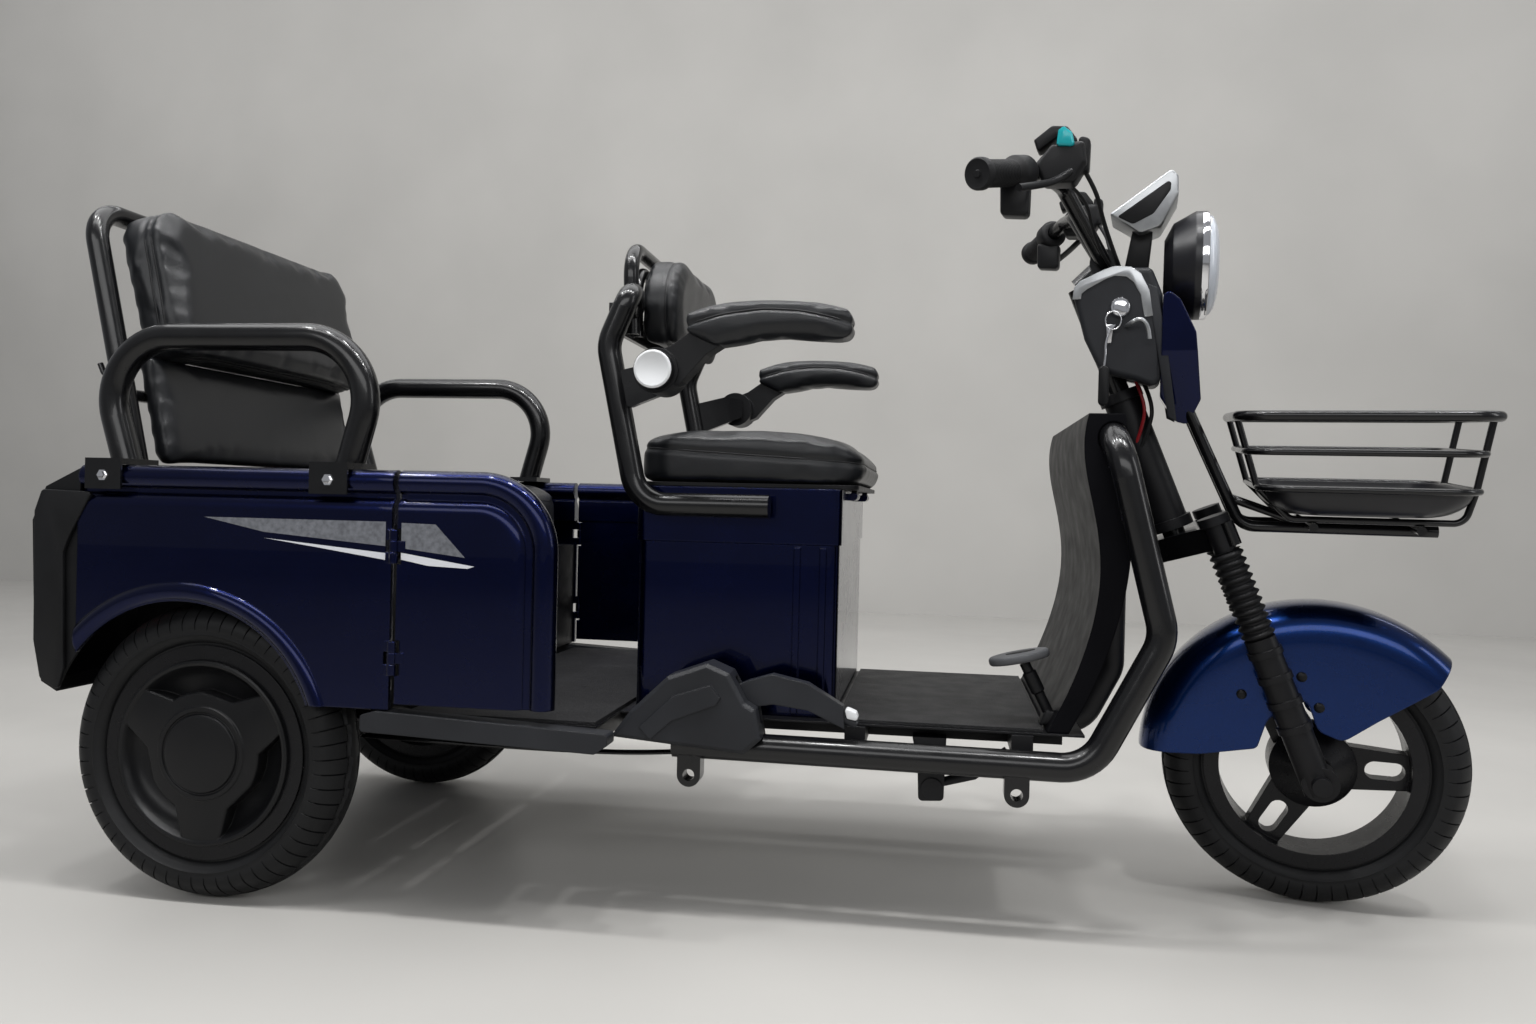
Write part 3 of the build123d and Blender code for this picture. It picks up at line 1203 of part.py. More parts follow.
STEERED = {
    "steering_stem": steering_stem, "fork_legs": fork_legs, "fork_gaiters": fork_gaiters,
    "front_mudguard": front_mudguard,
    "handlebar": handlebar, "grips": grips, "control_pods": control_pods,
    "headlight_housing": headlight_housing, "headlight_lens": headlight_lens, "cowl": cowl,
    "cowl_front": cowl_front, "display": display,
    "basket_frame": basket_frame, "basket_tray": basket_tray, "basket_support": basket_support,
}

FIXED = {
    "main_frame": main_frame, "head_tube": head_tube, "side_loops": side_loops,
    "floor_pan": floor_pan, "floor_mats": floor_mats,
    "step_trims": step_trims, "leg_shield": leg_shield, "brake_pedal": brake_pedal,
    "handbrake_cover": handbrake_cover, "handbrake_lever": handbrake_lever,
    "battery_box": battery_box, "battery_pack": battery_pack, "seat_base": seat_base,
    "seat_pan": seat_pan, "driver_cushion": driver_cushion,
    "driver_seat_frame": driver_seat_frame, "driver_backrest": driver_backrest,
    "tail_panel": tail_panel, "tail_lamps": tail_lamps, "rear_tub": rear_tub,
    "rear_cushion": rear_cushion, "rear_back_frame": rear_back_frame,
    "rear_back_upper": rear_back_upper, "rear_back_lower": rear_back_lower,
    "rear_armrests": rear_armrests, "rear_axle": rear_axle,
}

SIDED = {
    "armrest_arm": armrest_arm, "armrest_pad": armrest_pad, "body_side": body_side,
    "door": door,
}


def assembly():
    """All nodes in the frame of the rear axle."""
    nodes = {name: make() for name, make in FIXED.items()}
    nodes.update({name: steered(make()) for name, make in STEERED.items()})
    for name, make in SIDED.items():
        nodes.update(left_and_right(name, make()))
    nodes.update(placed_wheels())
    return nodes


def main():
    os.makedirs("parts", exist_ok=True)
    nodes = assembly()
    boxes = [shape.bounding_box() for shape in nodes.values()]
    low, high = min(b.min.X for b in boxes), max(b.max.X for b in boxes)
    middle = (low + high) / 2
    print("rear axle at X", -middle, "length", high - low)
    for name, shape in nodes.items():
        export_step(Pos(-middle, 0, 0) * shape, os.path.join("parts", name + ".step"))


main()
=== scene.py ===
import json
from math import atan2, cos, pi, radians, sin, sqrt

import bmesh
import bpy
import numpy as np
from mathutils import Matrix, Vector


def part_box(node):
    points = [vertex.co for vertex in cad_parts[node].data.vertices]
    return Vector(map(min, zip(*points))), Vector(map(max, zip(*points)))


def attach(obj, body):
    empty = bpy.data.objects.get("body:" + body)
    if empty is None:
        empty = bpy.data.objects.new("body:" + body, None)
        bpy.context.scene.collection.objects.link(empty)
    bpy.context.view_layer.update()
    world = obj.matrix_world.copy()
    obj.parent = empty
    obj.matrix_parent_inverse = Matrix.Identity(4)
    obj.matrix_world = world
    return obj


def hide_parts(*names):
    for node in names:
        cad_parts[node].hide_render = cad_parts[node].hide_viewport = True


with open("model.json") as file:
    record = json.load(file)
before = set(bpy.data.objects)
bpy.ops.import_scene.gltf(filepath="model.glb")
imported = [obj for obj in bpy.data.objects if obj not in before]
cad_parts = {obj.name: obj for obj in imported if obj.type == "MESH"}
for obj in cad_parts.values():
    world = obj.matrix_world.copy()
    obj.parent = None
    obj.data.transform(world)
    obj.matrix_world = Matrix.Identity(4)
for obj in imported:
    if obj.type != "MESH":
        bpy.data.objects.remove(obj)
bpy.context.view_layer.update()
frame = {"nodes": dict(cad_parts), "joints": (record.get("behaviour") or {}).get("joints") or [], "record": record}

NODES = frame["nodes"]
SCENE = bpy.context.scene

low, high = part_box("rear_tyre_left")
REAR_X = (low.x + high.x) / 2
STEER = next(j for j in frame["joints"] if j["name"] == "steering_turn")
STEER_AT_REST = radians(-11)
STEER_POS = Vector(STEER["pos_m"])
STEER_TURN = (Matrix.Translation(STEER_POS)
              @ Matrix.Rotation(STEER_AT_REST, 4, Vector(STEER["axis"]))
              @ Matrix.Translation(-STEER_POS))


def at(x, y, z):
    """A point given in millimetres from the rear axle, on the frame."""
    return Vector((x / 1000 + REAR_X, y / 1000, z / 1000))


# Materials

def new_material(name):
    mat = bpy.data.materials.new(name)
    mat.use_nodes = True
    tree = mat.node_tree
    return mat, tree, tree.nodes["Principled BSDF"]


def link(tree, a, b):
    tree.links.new(a, b)


def noise(tree, scale, detail=3.0, coords=None):
    node = tree.nodes.new("ShaderNodeTexNoise")
    node.inputs["Scale"].default_value = scale
    node.inputs["Detail"].default_value = detail
    link(tree, coords, node.inputs["Vector"])
    return node.outputs["Fac"]


def spread(tree, value, low_out, high_out, low_in=0.3, high_in=0.7):
    node = tree.nodes.new("ShaderNodeMapRange")
    node.inputs["From Min"].default_value = low_in
    node.inputs["From Max"].default_value = high_in
    node.inputs["To Min"].default_value = low_out
    node.inputs["To Max"].default_value = high_out
    link(tree, value, node.inputs["Value"])
    return node.outputs["Result"]


def two_tone(tree, value, first, second):
    node = tree.nodes.new("ShaderNodeMix")
    node.data_type = "RGBA"
    node.inputs[6].default_value = (*first, 1)
    node.inputs[7].default_value = (*second, 1)
    link(tree, value, node.inputs["Factor"])
    return node.outputs[2]


def bumped(tree, height, strength, distance, normal=None):
    node = tree.nodes.new("ShaderNodeBump")
    node.inputs["Strength"].default_value = strength
    node.inputs["Distance"].default_value = distance
    link(tree, height, node.inputs["Height"])
    if normal is not None:
        link(tree, normal, node.inputs["Normal"])
    return node.outputs["Normal"]


def rounded(tree, radius):
    node = tree.nodes.new("ShaderNodeBevel")
    node.samples = 4
    node.inputs["Radius"].default_value = radius
    return node.outputs["Normal"]


def object_coords(tree):
    return tree.nodes.new("ShaderNodeTexCoord").outputs["Object"]


def surface(name, color, vary=0.2, vary_scale=9.0, rough=(0.3, 0.4), rough_scale=30.0, grain=None,
            edge=0.0, metallic=0.0, coat=0.0, coat_rough=0.04, specular=0.22, cells=False):
    """A tinted, uneven surface; grain is (scale, strength, depth in metres)."""
    mat, tree, bsdf = new_material(name)
    coords = object_coords(tree)
    dark = tuple(c * (1 - vary) for c in color)
    pale = tuple(min(1, c * (1 + vary)) for c in color)
    link(tree, two_tone(tree, spread(tree, noise(tree, vary_scale, 4, coords), 0, 1), dark, pale),
         bsdf.inputs["Base Color"])
    link(tree, spread(tree, noise(tree, rough_scale, 3, coords), rough[0], rough[1]),
         bsdf.inputs["Roughness"])
    bsdf.inputs["Metallic"].default_value = metallic
    bsdf.inputs["Coat Weight"].default_value = coat
    bsdf.inputs["Coat Roughness"].default_value = coat_rough
    bsdf.inputs["Coat IOR"].default_value = 1.35
    bsdf.inputs["Specular IOR Level"].default_value = specular
    normal = rounded(tree, edge) if edge else None
    if grain:
        if cells:
            node = tree.nodes.new("ShaderNodeTexVoronoi")
            node.feature = "DISTANCE_TO_EDGE"
            node.inputs["Scale"].default_value = grain[0]
            link(tree, coords, node.inputs["Vector"])
            height = spread(tree, node.outputs["Distance"], 0, 1, 0, 0.25)
        else:
            height = noise(tree, grain[0], 2, coords)
        normal = bumped(tree, height, grain[1], grain[2], normal)
    if normal is not None:
        link(tree, normal, bsdf.inputs["Normal"])
    return mat


def metallic_paint(name, color, metallic=0.97):
    """Coloured flake under a clear coat."""
    mat, tree, bsdf = new_material(name)
    coords = object_coords(tree)
    flake = tree.nodes.new("ShaderNodeTexVoronoi")
    flake.inputs["Scale"].default_value = 1400
    link(tree, coords, flake.inputs["Vector"])
    dark = tuple(c * 0.75 for c in color)
    pale = tuple(c * 1.3 for c in color)
    link(tree, two_tone(tree, spread(tree, flake.outputs["Color"], 0, 1, 0, 1), dark, pale),
         bsdf.inputs["Base Color"])
    bsdf.inputs["Metallic"].default_value = metallic
    link(tree, spread(tree, noise(tree, 14, 3, coords), 0.22, 0.3), bsdf.inputs["Roughness"])
    bsdf.inputs["Coat Weight"].default_value = 0.8
    bsdf.inputs["Coat Roughness"].default_value = 0.02
    bsdf.inputs["Coat IOR"].default_value = 1.28
    smooth = rounded(tree, 0.003)
    link(tree, bumped(tree, noise(tree, 5, 2, coords), 0.03, 0.01, smooth), bsdf.inputs["Normal"])
    link(tree, smooth, bsdf.inputs["Coat Normal"])
    return mat


PAINT = {
    "body_blue": metallic_paint("body_blue", (0.0009, 0.0032, 0.030)),
    "guard_blue": metallic_paint("guard_blue", (0.0034, 0.019, 0.095)),
    "black_tube": surface("black_tube", (0.003, 0.003, 0.0035), rough=(0.2, 0.28), coat=0.3, specular=0.32),
    "frame_black": surface("frame_black", (0.005, 0.005, 0.006), rough=(0.34, 0.48), edge=0.0015,
                           grain=(900, 0.12, 0.0004)),
    "black_plastic": surface("black_plastic", (0.0042, 0.0043, 0.0050), rough=(0.36, 0.5), edge=0.002,
                             grain=(1300, 0.22, 0.0004)),
    "gloss_black": surface("gloss_black", (0.003, 0.003, 0.004), rough=(0.08, 0.16), edge=0.003,
                           coat=0.5),
    "grey_plastic": surface("grey_plastic", (0.017, 0.018, 0.021), rough=(0.38, 0.5), edge=0.003,
                            grain=(1300, 0.25, 0.0004)),
    "vinyl": surface("vinyl", (0.0070, 0.0076, 0.0090), vary=0.12, rough=(0.28, 0.36), specular=0.36,
                     grain=(620, 0.18, 0.0005), cells=True),
    "rubber": surface("rubber", (0.0060, 0.0060, 0.0068), rough=(0.5, 0.65), edge=0.0015,
                      grain=(1100, 0.3, 0.0004)),
    "tyre": surface("tyre", (0.0062, 0.0064, 0.0070), vary=0.3, rough=(0.46, 0.6),
                    grain=(800, 0.3, 0.0004)),
    "wheel_black": surface("wheel_black", (0.004, 0.004, 0.005), rough=(0.22, 0.32), edge=0.002,
                           grain=(900, 0.08, 0.0003)),
    "cover_black": surface("cover_black", (0.0052, 0.0053, 0.0060), rough=(0.3, 0.4), edge=0.002,
                           grain=(1200, 0.15, 0.0003)),
    "steel": surface("steel", (0.55, 0.55, 0.56), rough=(0.22, 0.35), metallic=1.0, edge=0.001),
    "chrome": surface("chrome", (0.75, 0.75, 0.77), vary=0.05, rough=(0.05, 0.1), metallic=1.0),
    "trim_silver": surface("trim_silver", (0.36, 0.37, 0.38), vary=0.08, vary_scale=60,
                           rough=(0.28, 0.38), metallic=0.9, edge=0.0015),
    "lamp_red": surface("lamp_red", (0.32, 0.012, 0.012), rough=(0.1, 0.18), coat=0.5, edge=0.002),
    "white_plastic": surface("white_plastic", (0.62, 0.63, 0.64), vary=0.03, rough=(0.3, 0.4),
                             edge=0.001),
    "decal_grey": surface("decal_grey", (0.13, 0.135, 0.15), vary=0.25, vary_scale=160,
                          rough=(0.2, 0.3), coat=0.5),
    "decal_white": surface("decal_white", (0.62, 0.63, 0.66), vary=0.05, rough=(0.2, 0.3), coat=0.5),
    "wire_red": surface("wire_red", (0.22, 0.010, 0.014), rough=(0.3, 0.4)),
    "teal": surface("teal", (0.010, 0.30, 0.33), rough=(0.2, 0.3), coat=0.5),
    "shield_black": surface("shield_black", (0.004, 0.004, 0.005), rough=(0.3, 0.4), edge=0.003,
                            specular=0.03),
    "lamp_black": surface("lamp_black", (0.006, 0.006, 0.008), rough=(0.3, 0.38), edge=0.003,
                          specular=0.4),
    "mat_black": surface("mat_black", (0.012, 0.012, 0.013), rough=(0.5, 0.62), edge=0.0015,
                         grain=(260, 0.5, 0.0008), cells=True),
    "rubber_grey": surface("rubber_grey", (0.075, 0.077, 0.082), rough=(0.45, 0.6), edge=0.002,
                           grain=(700, 0.3, 0.0005)),
}


def lens_material():
    mat, tree, bsdf = new_material("lens")
    coords = object_coords(tree)
    bsdf.inputs["Base Color"].default_value = (0.93, 0.95, 0.96, 1)
    bsdf.inputs["Transmission Weight"].default_value = 0.9
    bsdf.inputs["IOR"].default_value = 1.45
    link(tree, spread(tree, noise(tree, 60, 2, coords), 0.04, 0.12), bsdf.inputs["Roughness"])
    return mat


PAINT["lens"] = lens_material()
PAINT["lens_milk"] = surface("lens_milk", (0.50, 0.53, 0.58), vary=0.06, vary_scale=40, rough=(0.1, 0.2),
                             coat=0.6, specular=0.5)

SLOT_OF = {s["node"]: s["material_slot"] for s in frame["record"]["subparts"]}
LOOK_OF = {"leg_shield": "shield_black", "headlight_housing": "lamp_black", "floor_mats": "mat_black"}
for node_name, node in NODES.items():
    node.data.materials.clear()
    node.data.materials.append(PAINT[LOOK_OF.get(node_name, SLOT_OF[node_name])])

# Stage


def stage_piece(name, verts, faces, color, rough):
    mesh = bpy.data.meshes.new(name)
    mesh.from_pydata(verts, [], faces)
    obj = bpy.data.objects.new(name, mesh)
    SCENE.collection.objects.link(obj)
    mat = surface(name, color, vary=0.05, vary_scale=1.2, rough=rough, rough_scale=2.0)
    mesh.materials.append(mat)
    return obj


FLOOR_TONE = (0.43, 0.42, 0.40)
WALL_TONE = (0.45, 0.44, 0.42)
stage_piece("floor", [(-9, -9, 0), (9, -9, 0), (9, 4.2, 0), (-9, 4.2, 0)], [(0, 1, 2, 3)],
            FLOOR_TONE, (0.3, 0.45))
stage_piece("backdrop", [(-9, 4.2, 0), (9, 4.2, 0), (9, 4.2, 6), (-9, 4.2, 6)], [(0, 1, 2, 3)],
            WALL_TONE, (0.6, 0.7))


def area_light(name, where, target, size, watts, color=(1, 1, 1)):
    data = bpy.data.lights.new(name, "AREA")
    data.shape = "RECTANGLE"
    data.size, data.size_y = size
    data.energy = watts
    data.color = color
    obj = bpy.data.objects.new(name, data)
    obj.location = where
    obj.rotation_euler = (Vector(target) - Vector(where)).to_track_quat("-Z", "Y").to_euler()
    SCENE.collection.objects.link(obj)


area_light("top_strip", (-0.3, 0.5, 3.4), (-0.2, 0.1, 0), (5.4, 1.6), 72)
area_light("top_front", (0.2, -1.0, 3.0), (0, -0.2, 0.3), (4.2, 0.3), 34)
area_light("front_fill", (0.2, -4.6, 2.6), (0, 0, 0.2), (6.5, 1.4), 92)
area_light("right_side", (4.2, -1.0, 2.0), (0.6, 0, 0.5), (0.7, 2.2), 20)
area_light("back_wash", (-0.4, 2.4, 3.9), (-0.4, 4.2, 0.9), (11.0, 0.6), 105)
for spot in range(5):
    area_light("ceiling_%d" % spot, (spot * 0.75 - 1.6, -0.75, 2.9), (spot * 0.6 - 1.2, 0, 0.4),
               (0.16, 0.16), 13)

world = bpy.data.worlds.new("studio")
world.use_nodes = True
world.node_tree.nodes["Background"].inputs["Color"].default_value = (0.86, 0.88, 0.92, 1)
world.node_tree.nodes["Background"].inputs["Strength"].default_value = 0.34
SCENE.world = world

# Camera

PHOTO_W = 1536
FOCAL_PX = 1107.08
SENSOR = 36.0
YAW, PITCH, ROLL = radians(8.76), radians(-0.36), radians(1.37)
forward = Vector((-sin(YAW) * cos(PITCH), cos(YAW) * cos(PITCH), sin(PITCH)))
right = Vector((cos(YAW), sin(YAW), 0))
up = right.cross(forward)
cam_x = cos(ROLL) * right + sin(ROLL) * up
cam_y = -sin(ROLL) * right + cos(ROLL) * up
camera_data = bpy.data.cameras.new("camera")
camera_data.sensor_width = SENSOR
camera_data.lens = SENSOR * FOCAL_PX / PHOTO_W
camera = bpy.data.objects.new("camera", camera_data)
turn = Matrix((cam_x, cam_y, -forward)).transposed().to_4x4()
camera.matrix_world = Matrix.Translation(at(984.0, -1732.3, 561.6)) @ turn
SCENE.collection.objects.link(camera)
SCENE.camera = camera
SCENE.view_settings.view_transform = "Standard"

# Mesh tools

FRAME_MM = Matrix.Translation((REAR_X, 0, 0)) @ Matrix.Scale(0.001, 4)
STEER_MM = STEER_TURN @ FRAME_MM


def linked(name, data):
    obj = bpy.data.objects.new(name, data)
    SCENE.collection.objects.link(obj)
    return obj


def evaluated_mesh(obj):
    bpy.context.view_layer.update()
    graph = bpy.context.evaluated_depsgraph_get()
    return bpy.data.meshes.new_from_object(obj.evaluated_get(graph))


def drop(obj):
    data = obj.data
    bpy.data.objects.remove(obj)
    if isinstance(data, bpy.types.Mesh):
        bpy.data.meshes.remove(data)
    else:
        bpy.data.curves.remove(data)


def put(name, mesh, body, slot, look=None, replaces=(), sharp=40):
    """A finished mesh as a piece that rides on a body and takes a slot's finish."""
    obj = linked(name, mesh)
    mesh.materials.clear()
    mesh.materials.append(PAINT[look or slot])
    mesh.shade_smooth()
    if sharp:
        mesh.set_sharp_from_angle(angle=radians(sharp))
    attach(obj, body)
    if replaces:
        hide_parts(*replaces)
    return obj


def from_bmesh(bm, name, matrix=None):
    if matrix is not None:
        bm.transform(matrix)
    bmesh.ops.recalc_face_normals(bm, faces=bm.faces)
    mesh = bpy.data.meshes.new(name)
    bm.to_mesh(mesh)
    bm.free()
    return mesh


def arcs(corners, steps=7):
    """Outline from (u, v, radius) corners, each rounded by its own arc."""
    out = []
    for i, (x, y, r) in enumerate(corners):
        p = Vector((x, y))
        to_last = (Vector(corners[i - 1][:2]) - p).normalized()
        to_next = (Vector(corners[(i + 1) % len(corners)][:2]) - p).normalized()
        if r <= 0:
            out.append((x, y))
            continue
        half = to_last.angle(to_next) / 2
        centre = p + (to_last + to_next).normalized() * (r / sin(half))
        first = p + to_last * (r * cos(half) / sin(half)) - centre
        last = p + to_next * (r * cos(half) / sin(half)) - centre
        start = atan2(first.y, first.x)
        sweep = (atan2(last.y, last.x) - start + pi) % (2 * pi) - pi
        for k in range(steps + 1):
            a = start + sweep * k / steps
            out.append((centre.x + r * cos(a), centre.y + r * sin(a)))
    return out


def slab(bm, points, depth, matrix=None, bevel=0.0, segments=2):
    """Prism on an outline in u and v, from w = 0 to w = depth."""
    verts = [bm.verts.new((u, v, 0)) for u, v in points]
    face = bm.faces.new(verts)
    grown = bmesh.ops.extrude_face_region(bm, geom=[face])["geom"]
    tops = [g for g in grown if isinstance(g, bmesh.types.BMVert)]
    bmesh.ops.translate(bm, verts=tops, vec=(0, 0, depth))
    if bevel:
        rims = [e for e in bm.edges if e.verts[0] in verts and e.verts[1] in verts
                or e.verts[0] in tops and e.verts[1] in tops]
        made = bmesh.ops.bevel(bm, geom=rims, offset=bevel, segments=segments, profile=0.5,
                               affect="EDGES", clamp_overlap=True)
        tops = made["verts"]
    everything = set(verts) | set(tops)
    if matrix is not None:
        bmesh.ops.transform(bm, matrix=matrix, verts=[v for v in bm.verts if v.is_valid])
    return everything


def side_plane(y):
    """u along X, v along Z and w towards -Y, from Y = y, in millimetres."""
    return Matrix(((1, 0, 0, 0), (0, 0, -1, y), (0, 1, 0, 0), (0, 0, 0, 1)))


def lathe(bm, profile, matrix=None, steps=64, closed=True):
    """(axial, radial) points turned about the local Y axis."""
    rings = []
    for k in range(steps):
        a = 2 * pi * k / steps
        rings.append([bm.verts.new((r * cos(a), y, r * sin(a))) for y, r in profile])
    count = len(profile)
    for k in range(steps):
        a, b = rings[k], rings[(k + 1) % steps]
        for i in range(count if closed else count - 1):
            j = (i + 1) % count
            bm.faces.new((a[i], a[j], b[j], b[i]))
    if matrix is not None:
        made = [v for ring in rings for v in ring]
        bmesh.ops.transform(bm, matrix=matrix, verts=made)
    bmesh.ops.remove_doubles(bm, verts=[v for ring in rings for v in ring], dist=1e-5)


def tube_mesh(points, radius, matrix, cyclic=False, smooth=True, sides=4):
    """Round bar along points in millimetres, as a mesh."""
    curve = bpy.data.curves.new("tube", "CURVE")
    curve.dimensions = "3D"
    curve.bevel_depth = radius
    curve.bevel_resolution = sides
    curve.use_fill_caps = True
    curve.resolution_u = 10
    spline = curve.splines.new("NURBS" if smooth else "POLY")
    spline.points.add(len(points) - 1)
    for point, place in zip(spline.points, points):
        point.co = (*place, 1)
    spline.use_cyclic_u = cyclic
    if smooth:
        spline.order_u = 3
        spline.use_endpoint_u = not cyclic
    obj = linked("tube", curve)
    mesh = evaluated_mesh(obj)
    drop(obj)
    mesh.transform(matrix)
    return mesh


def joined(meshes, name):
    """Several meshes as one."""
    bm = bmesh.new()
    for mesh in meshes:
        bm.from_mesh(mesh)
        bpy.data.meshes.remove(mesh)
    return from_bmesh(bm, name)


# Soft goods

def common(first, second):
    """Mesh that two meshes share."""
    a, b = linked("a", first), linked("b", second)
    cut = a.modifiers.new("cut", "BOOLEAN")
    cut.operation = "INTERSECT"
    cut.object = b
    mesh = evaluated_mesh(a)
    drop(a)
    drop(b)
    return mesh


def stuffed(mesh, voxel, softness, pressure, cap, rest=None):
    """Remeshed, softened and blown up by cloth pressure; rest is (point, normal) it lies on."""
    obj = linked("stuffing", mesh)
    remesh = obj.modifiers.new("remesh", "REMESH")
    remesh.mode = "VOXEL"
    remesh.voxel_size = voxel
    base = evaluated_mesh(obj)
    drop(obj)
    bm = bmesh.new()
    bm.from_mesh(base)
    for _ in range(softness):
        bmesh.ops.smooth_vert(bm, verts=bm.verts, factor=0.5, use_axis_x=True, use_axis_y=True,
                              use_axis_z=True)
    bm.to_mesh(base)
    bm.free()
    start = np.array([v.co for v in base.vertices])
    normals = np.array([v.normal for v in base.vertices])
    moved = start + normals * cap * 0.5
    obj = linked("cloth", base.copy())
    cloth = obj.modifiers.new("cloth", "CLOTH")
    cloth.settings.use_pressure = True
    cloth.settings.uniform_pressure_force = pressure
    cloth.settings.effector_weights.gravity = 0
    cloth.settings.quality = 4
    cloth.collision_settings.use_collision = False
    for step in range(1, 21):
        SCENE.frame_set(step)
    blown = evaluated_mesh(obj)
    moved = np.array([v.co for v in blown.vertices])
    bpy.data.meshes.remove(blown)
    drop(obj)
    SCENE.frame_set(1)
    shift = moved - start
    length = np.linalg.norm(shift, axis=1, keepdims=True)
    shift *= np.minimum(1, cap / np.maximum(length, 1e-9))
    place = start + shift
    if rest:
        point, normal = np.array(rest[0]), np.array(rest[1])
        below = np.minimum(0, (place - point) @ normal)
        place -= below[:, None] * normal
    for vert, co in zip(base.vertices, place):
        vert.co = co
    return base


def contour(mesh, level):
    """Loops of points where level(point) is zero on a mesh."""
    values = [level(v.co) for v in mesh.vertices]
    points, joins = {}, {}
    for poly in mesh.polygons:
        crossed = []
        for a, b in poly.edge_keys:
            if values[a] * values[b] < 0:
                t = values[a] / (values[a] - values[b])
                points[(a, b)] = mesh.vertices[a].co.lerp(mesh.vertices[b].co, t)
                crossed.append((a, b))
        if len(crossed) == 2:
            joins.setdefault(crossed[0], []).append(crossed[1])
            joins.setdefault(crossed[1], []).append(crossed[0])
    loops, left = [], set(joins)
    while left:
        here = min(left)
        chain = [here]
        left.discard(here)
        while True:
            onward = [k for k in joins[here] if k in left]
            if not onward:
                break
            here = onward[0]
            left.discard(here)
            chain.append(here)
        if len(chain) > 8:
            loops.append([points[k] for k in chain])
    return loops


def evened(points, gap, passes):
    """The same closed loop with points a gap apart, smoothed."""
    out = [points[0]]
    for p in points[1:]:
        if (p - out[-1]).length >= gap:
            out.append(p)
    for _ in range(passes):
        out = [(out[i - 1] + out[i] * 2 + out[(i + 1) % len(out)]) / 4 for i in range(len(out))]
    return out


def sunk(mesh, level, width, depth):
    """Press a seam's groove into a mesh along level = 0."""
    for v in mesh.vertices:
        d = level(v.co) / width
        if abs(d) < 3:
            v.co -= v.normal * depth * np.exp(-d * d)


def piping(name, mesh, level, radius, body, keep=None):
    """Cord sewn along a seam of a pad."""
    parts = []
    for loop in contour(mesh, level):
        loop = evened(loop, 0.006, 4)
        if len(loop) < 12 or keep and not keep(loop):
            continue
        parts.append(tube_mesh(loop, radius, Matrix.Identity(4), cyclic=True, sides=2))
    return put(name, joined(parts, name), body, "vinyl", "vinyl_cord", sharp=0)


def cushion(name, shape, body, node, voxel, softness, cap, rest=None, pressure=4.0, seams=(),
            finer=True):
    """A padded piece that stands for a plain solid, with its piped seams."""
    mesh = stuffed(shape, voxel, softness, pressure, cap, rest)
    if finer:
        obj = linked("finer", mesh)
        obj.modifiers.new("finer", "SUBSURF").levels = 1
        finer_mesh = evaluated_mesh(obj)
        drop(obj)
        mesh = finer_mesh
    for level in seams:
        sunk(mesh, level, 0.004, 0.0025)
    for index, level in enumerate(seams):
        piping("%s_seam_%d" % (name, index), mesh, level, 0.0014, body)
    obj = put(name, mesh, body, "vinyl", replaces=[node], sharp=0)
    return obj


def prism(name, points, depth, matrix):
    bm = bmesh.new()
    slab(bm, points, depth)
    return from_bmesh(bm, name, matrix)


PAINT["vinyl_cord"] = surface("vinyl_cord", (0.012, 0.012, 0.013), rough=(0.4, 0.5),
                              grain=(900, 0.2, 0.0003))
MM = 0.001

# Driver's cushion: side view times plan
SEAT_LOW = 591.9
side_view = [(551, SEAT_LOW), (872, SEAT_LOW), (884, 600), (889, 616), (882, 634), (856, 647), (800, 656),
             (744, 660), (640, 659), (560, 651), (551, 634)]
plan_view = arcs([(551, -218, 60), (890, -218, 78), (890, 218, 78), (551, 218, 60)])
shape = common(prism("side", side_view, 460, FRAME_MM @ side_plane(230)),
               prism("plan", plan_view, 120, FRAME_MM @ Matrix.Translation((0, 0, 570))))
seat_top = at(556, 0, 640)
seat_tilt = Vector((18, 0, 330)).normalized()
cushion("driver_seat_pad", shape, "driver_seat", "driver_cushion", 0.006, 8, 0.007,
        rest=(at(700, 0, SEAT_LOW), (0, 0, 1)),
        seams=[lambda p: (p - seat_top).dot(seat_tilt)])

# Driver's back: outline in Y and Z, set in front of its hoops
BACK_PAD_X = 545.4
back_view = arcs([(-146, 796, 34), (146, 796, 34), (163, 850, 60), (157, 932, 84), (-157, 932, 84),
                  (-163, 850, 60)])
upright = Matrix(((0, 0, 1, 0), (1, 0, 0, 0), (0, 1, 0, 0), (0, 0, 0, 1)))
shape = prism("back", back_view, 50, FRAME_MM @ Matrix.Translation((BACK_PAD_X + 2, 0, 0)) @ upright)
cushion("driver_back_pad", shape, "frame", "driver_backrest", 0.005, 6, 0.006,
        rest=(at(BACK_PAD_X, 0, 800), (1, 0, 0)),
        seams=[lambda p: p.x - at(BACK_PAD_X + 36, 0, 0).x])

# Rear back pads lean with their hoop
LEAN = radians(12.4)
LEAN_FOOT = (-138.0, 475.3)


def leaning(low, gap):
    """u across, v up the leaning back and w forward off the tubes, from a height and a gap."""
    x = LEAN_FOOT[0] - (low - LEAN_FOOT[1]) * sin(LEAN) / cos(LEAN)
    ahead = Vector((cos(LEAN), 0, sin(LEAN)))
    rise = Vector((-sin(LEAN), 0, cos(LEAN)))
    origin = Vector((x, 0, low)) + ahead * gap
    rows = Matrix((Vector((0, 1, 0)), rise, ahead)).transposed().to_4x4()
    return Matrix.Translation(origin) @ rows


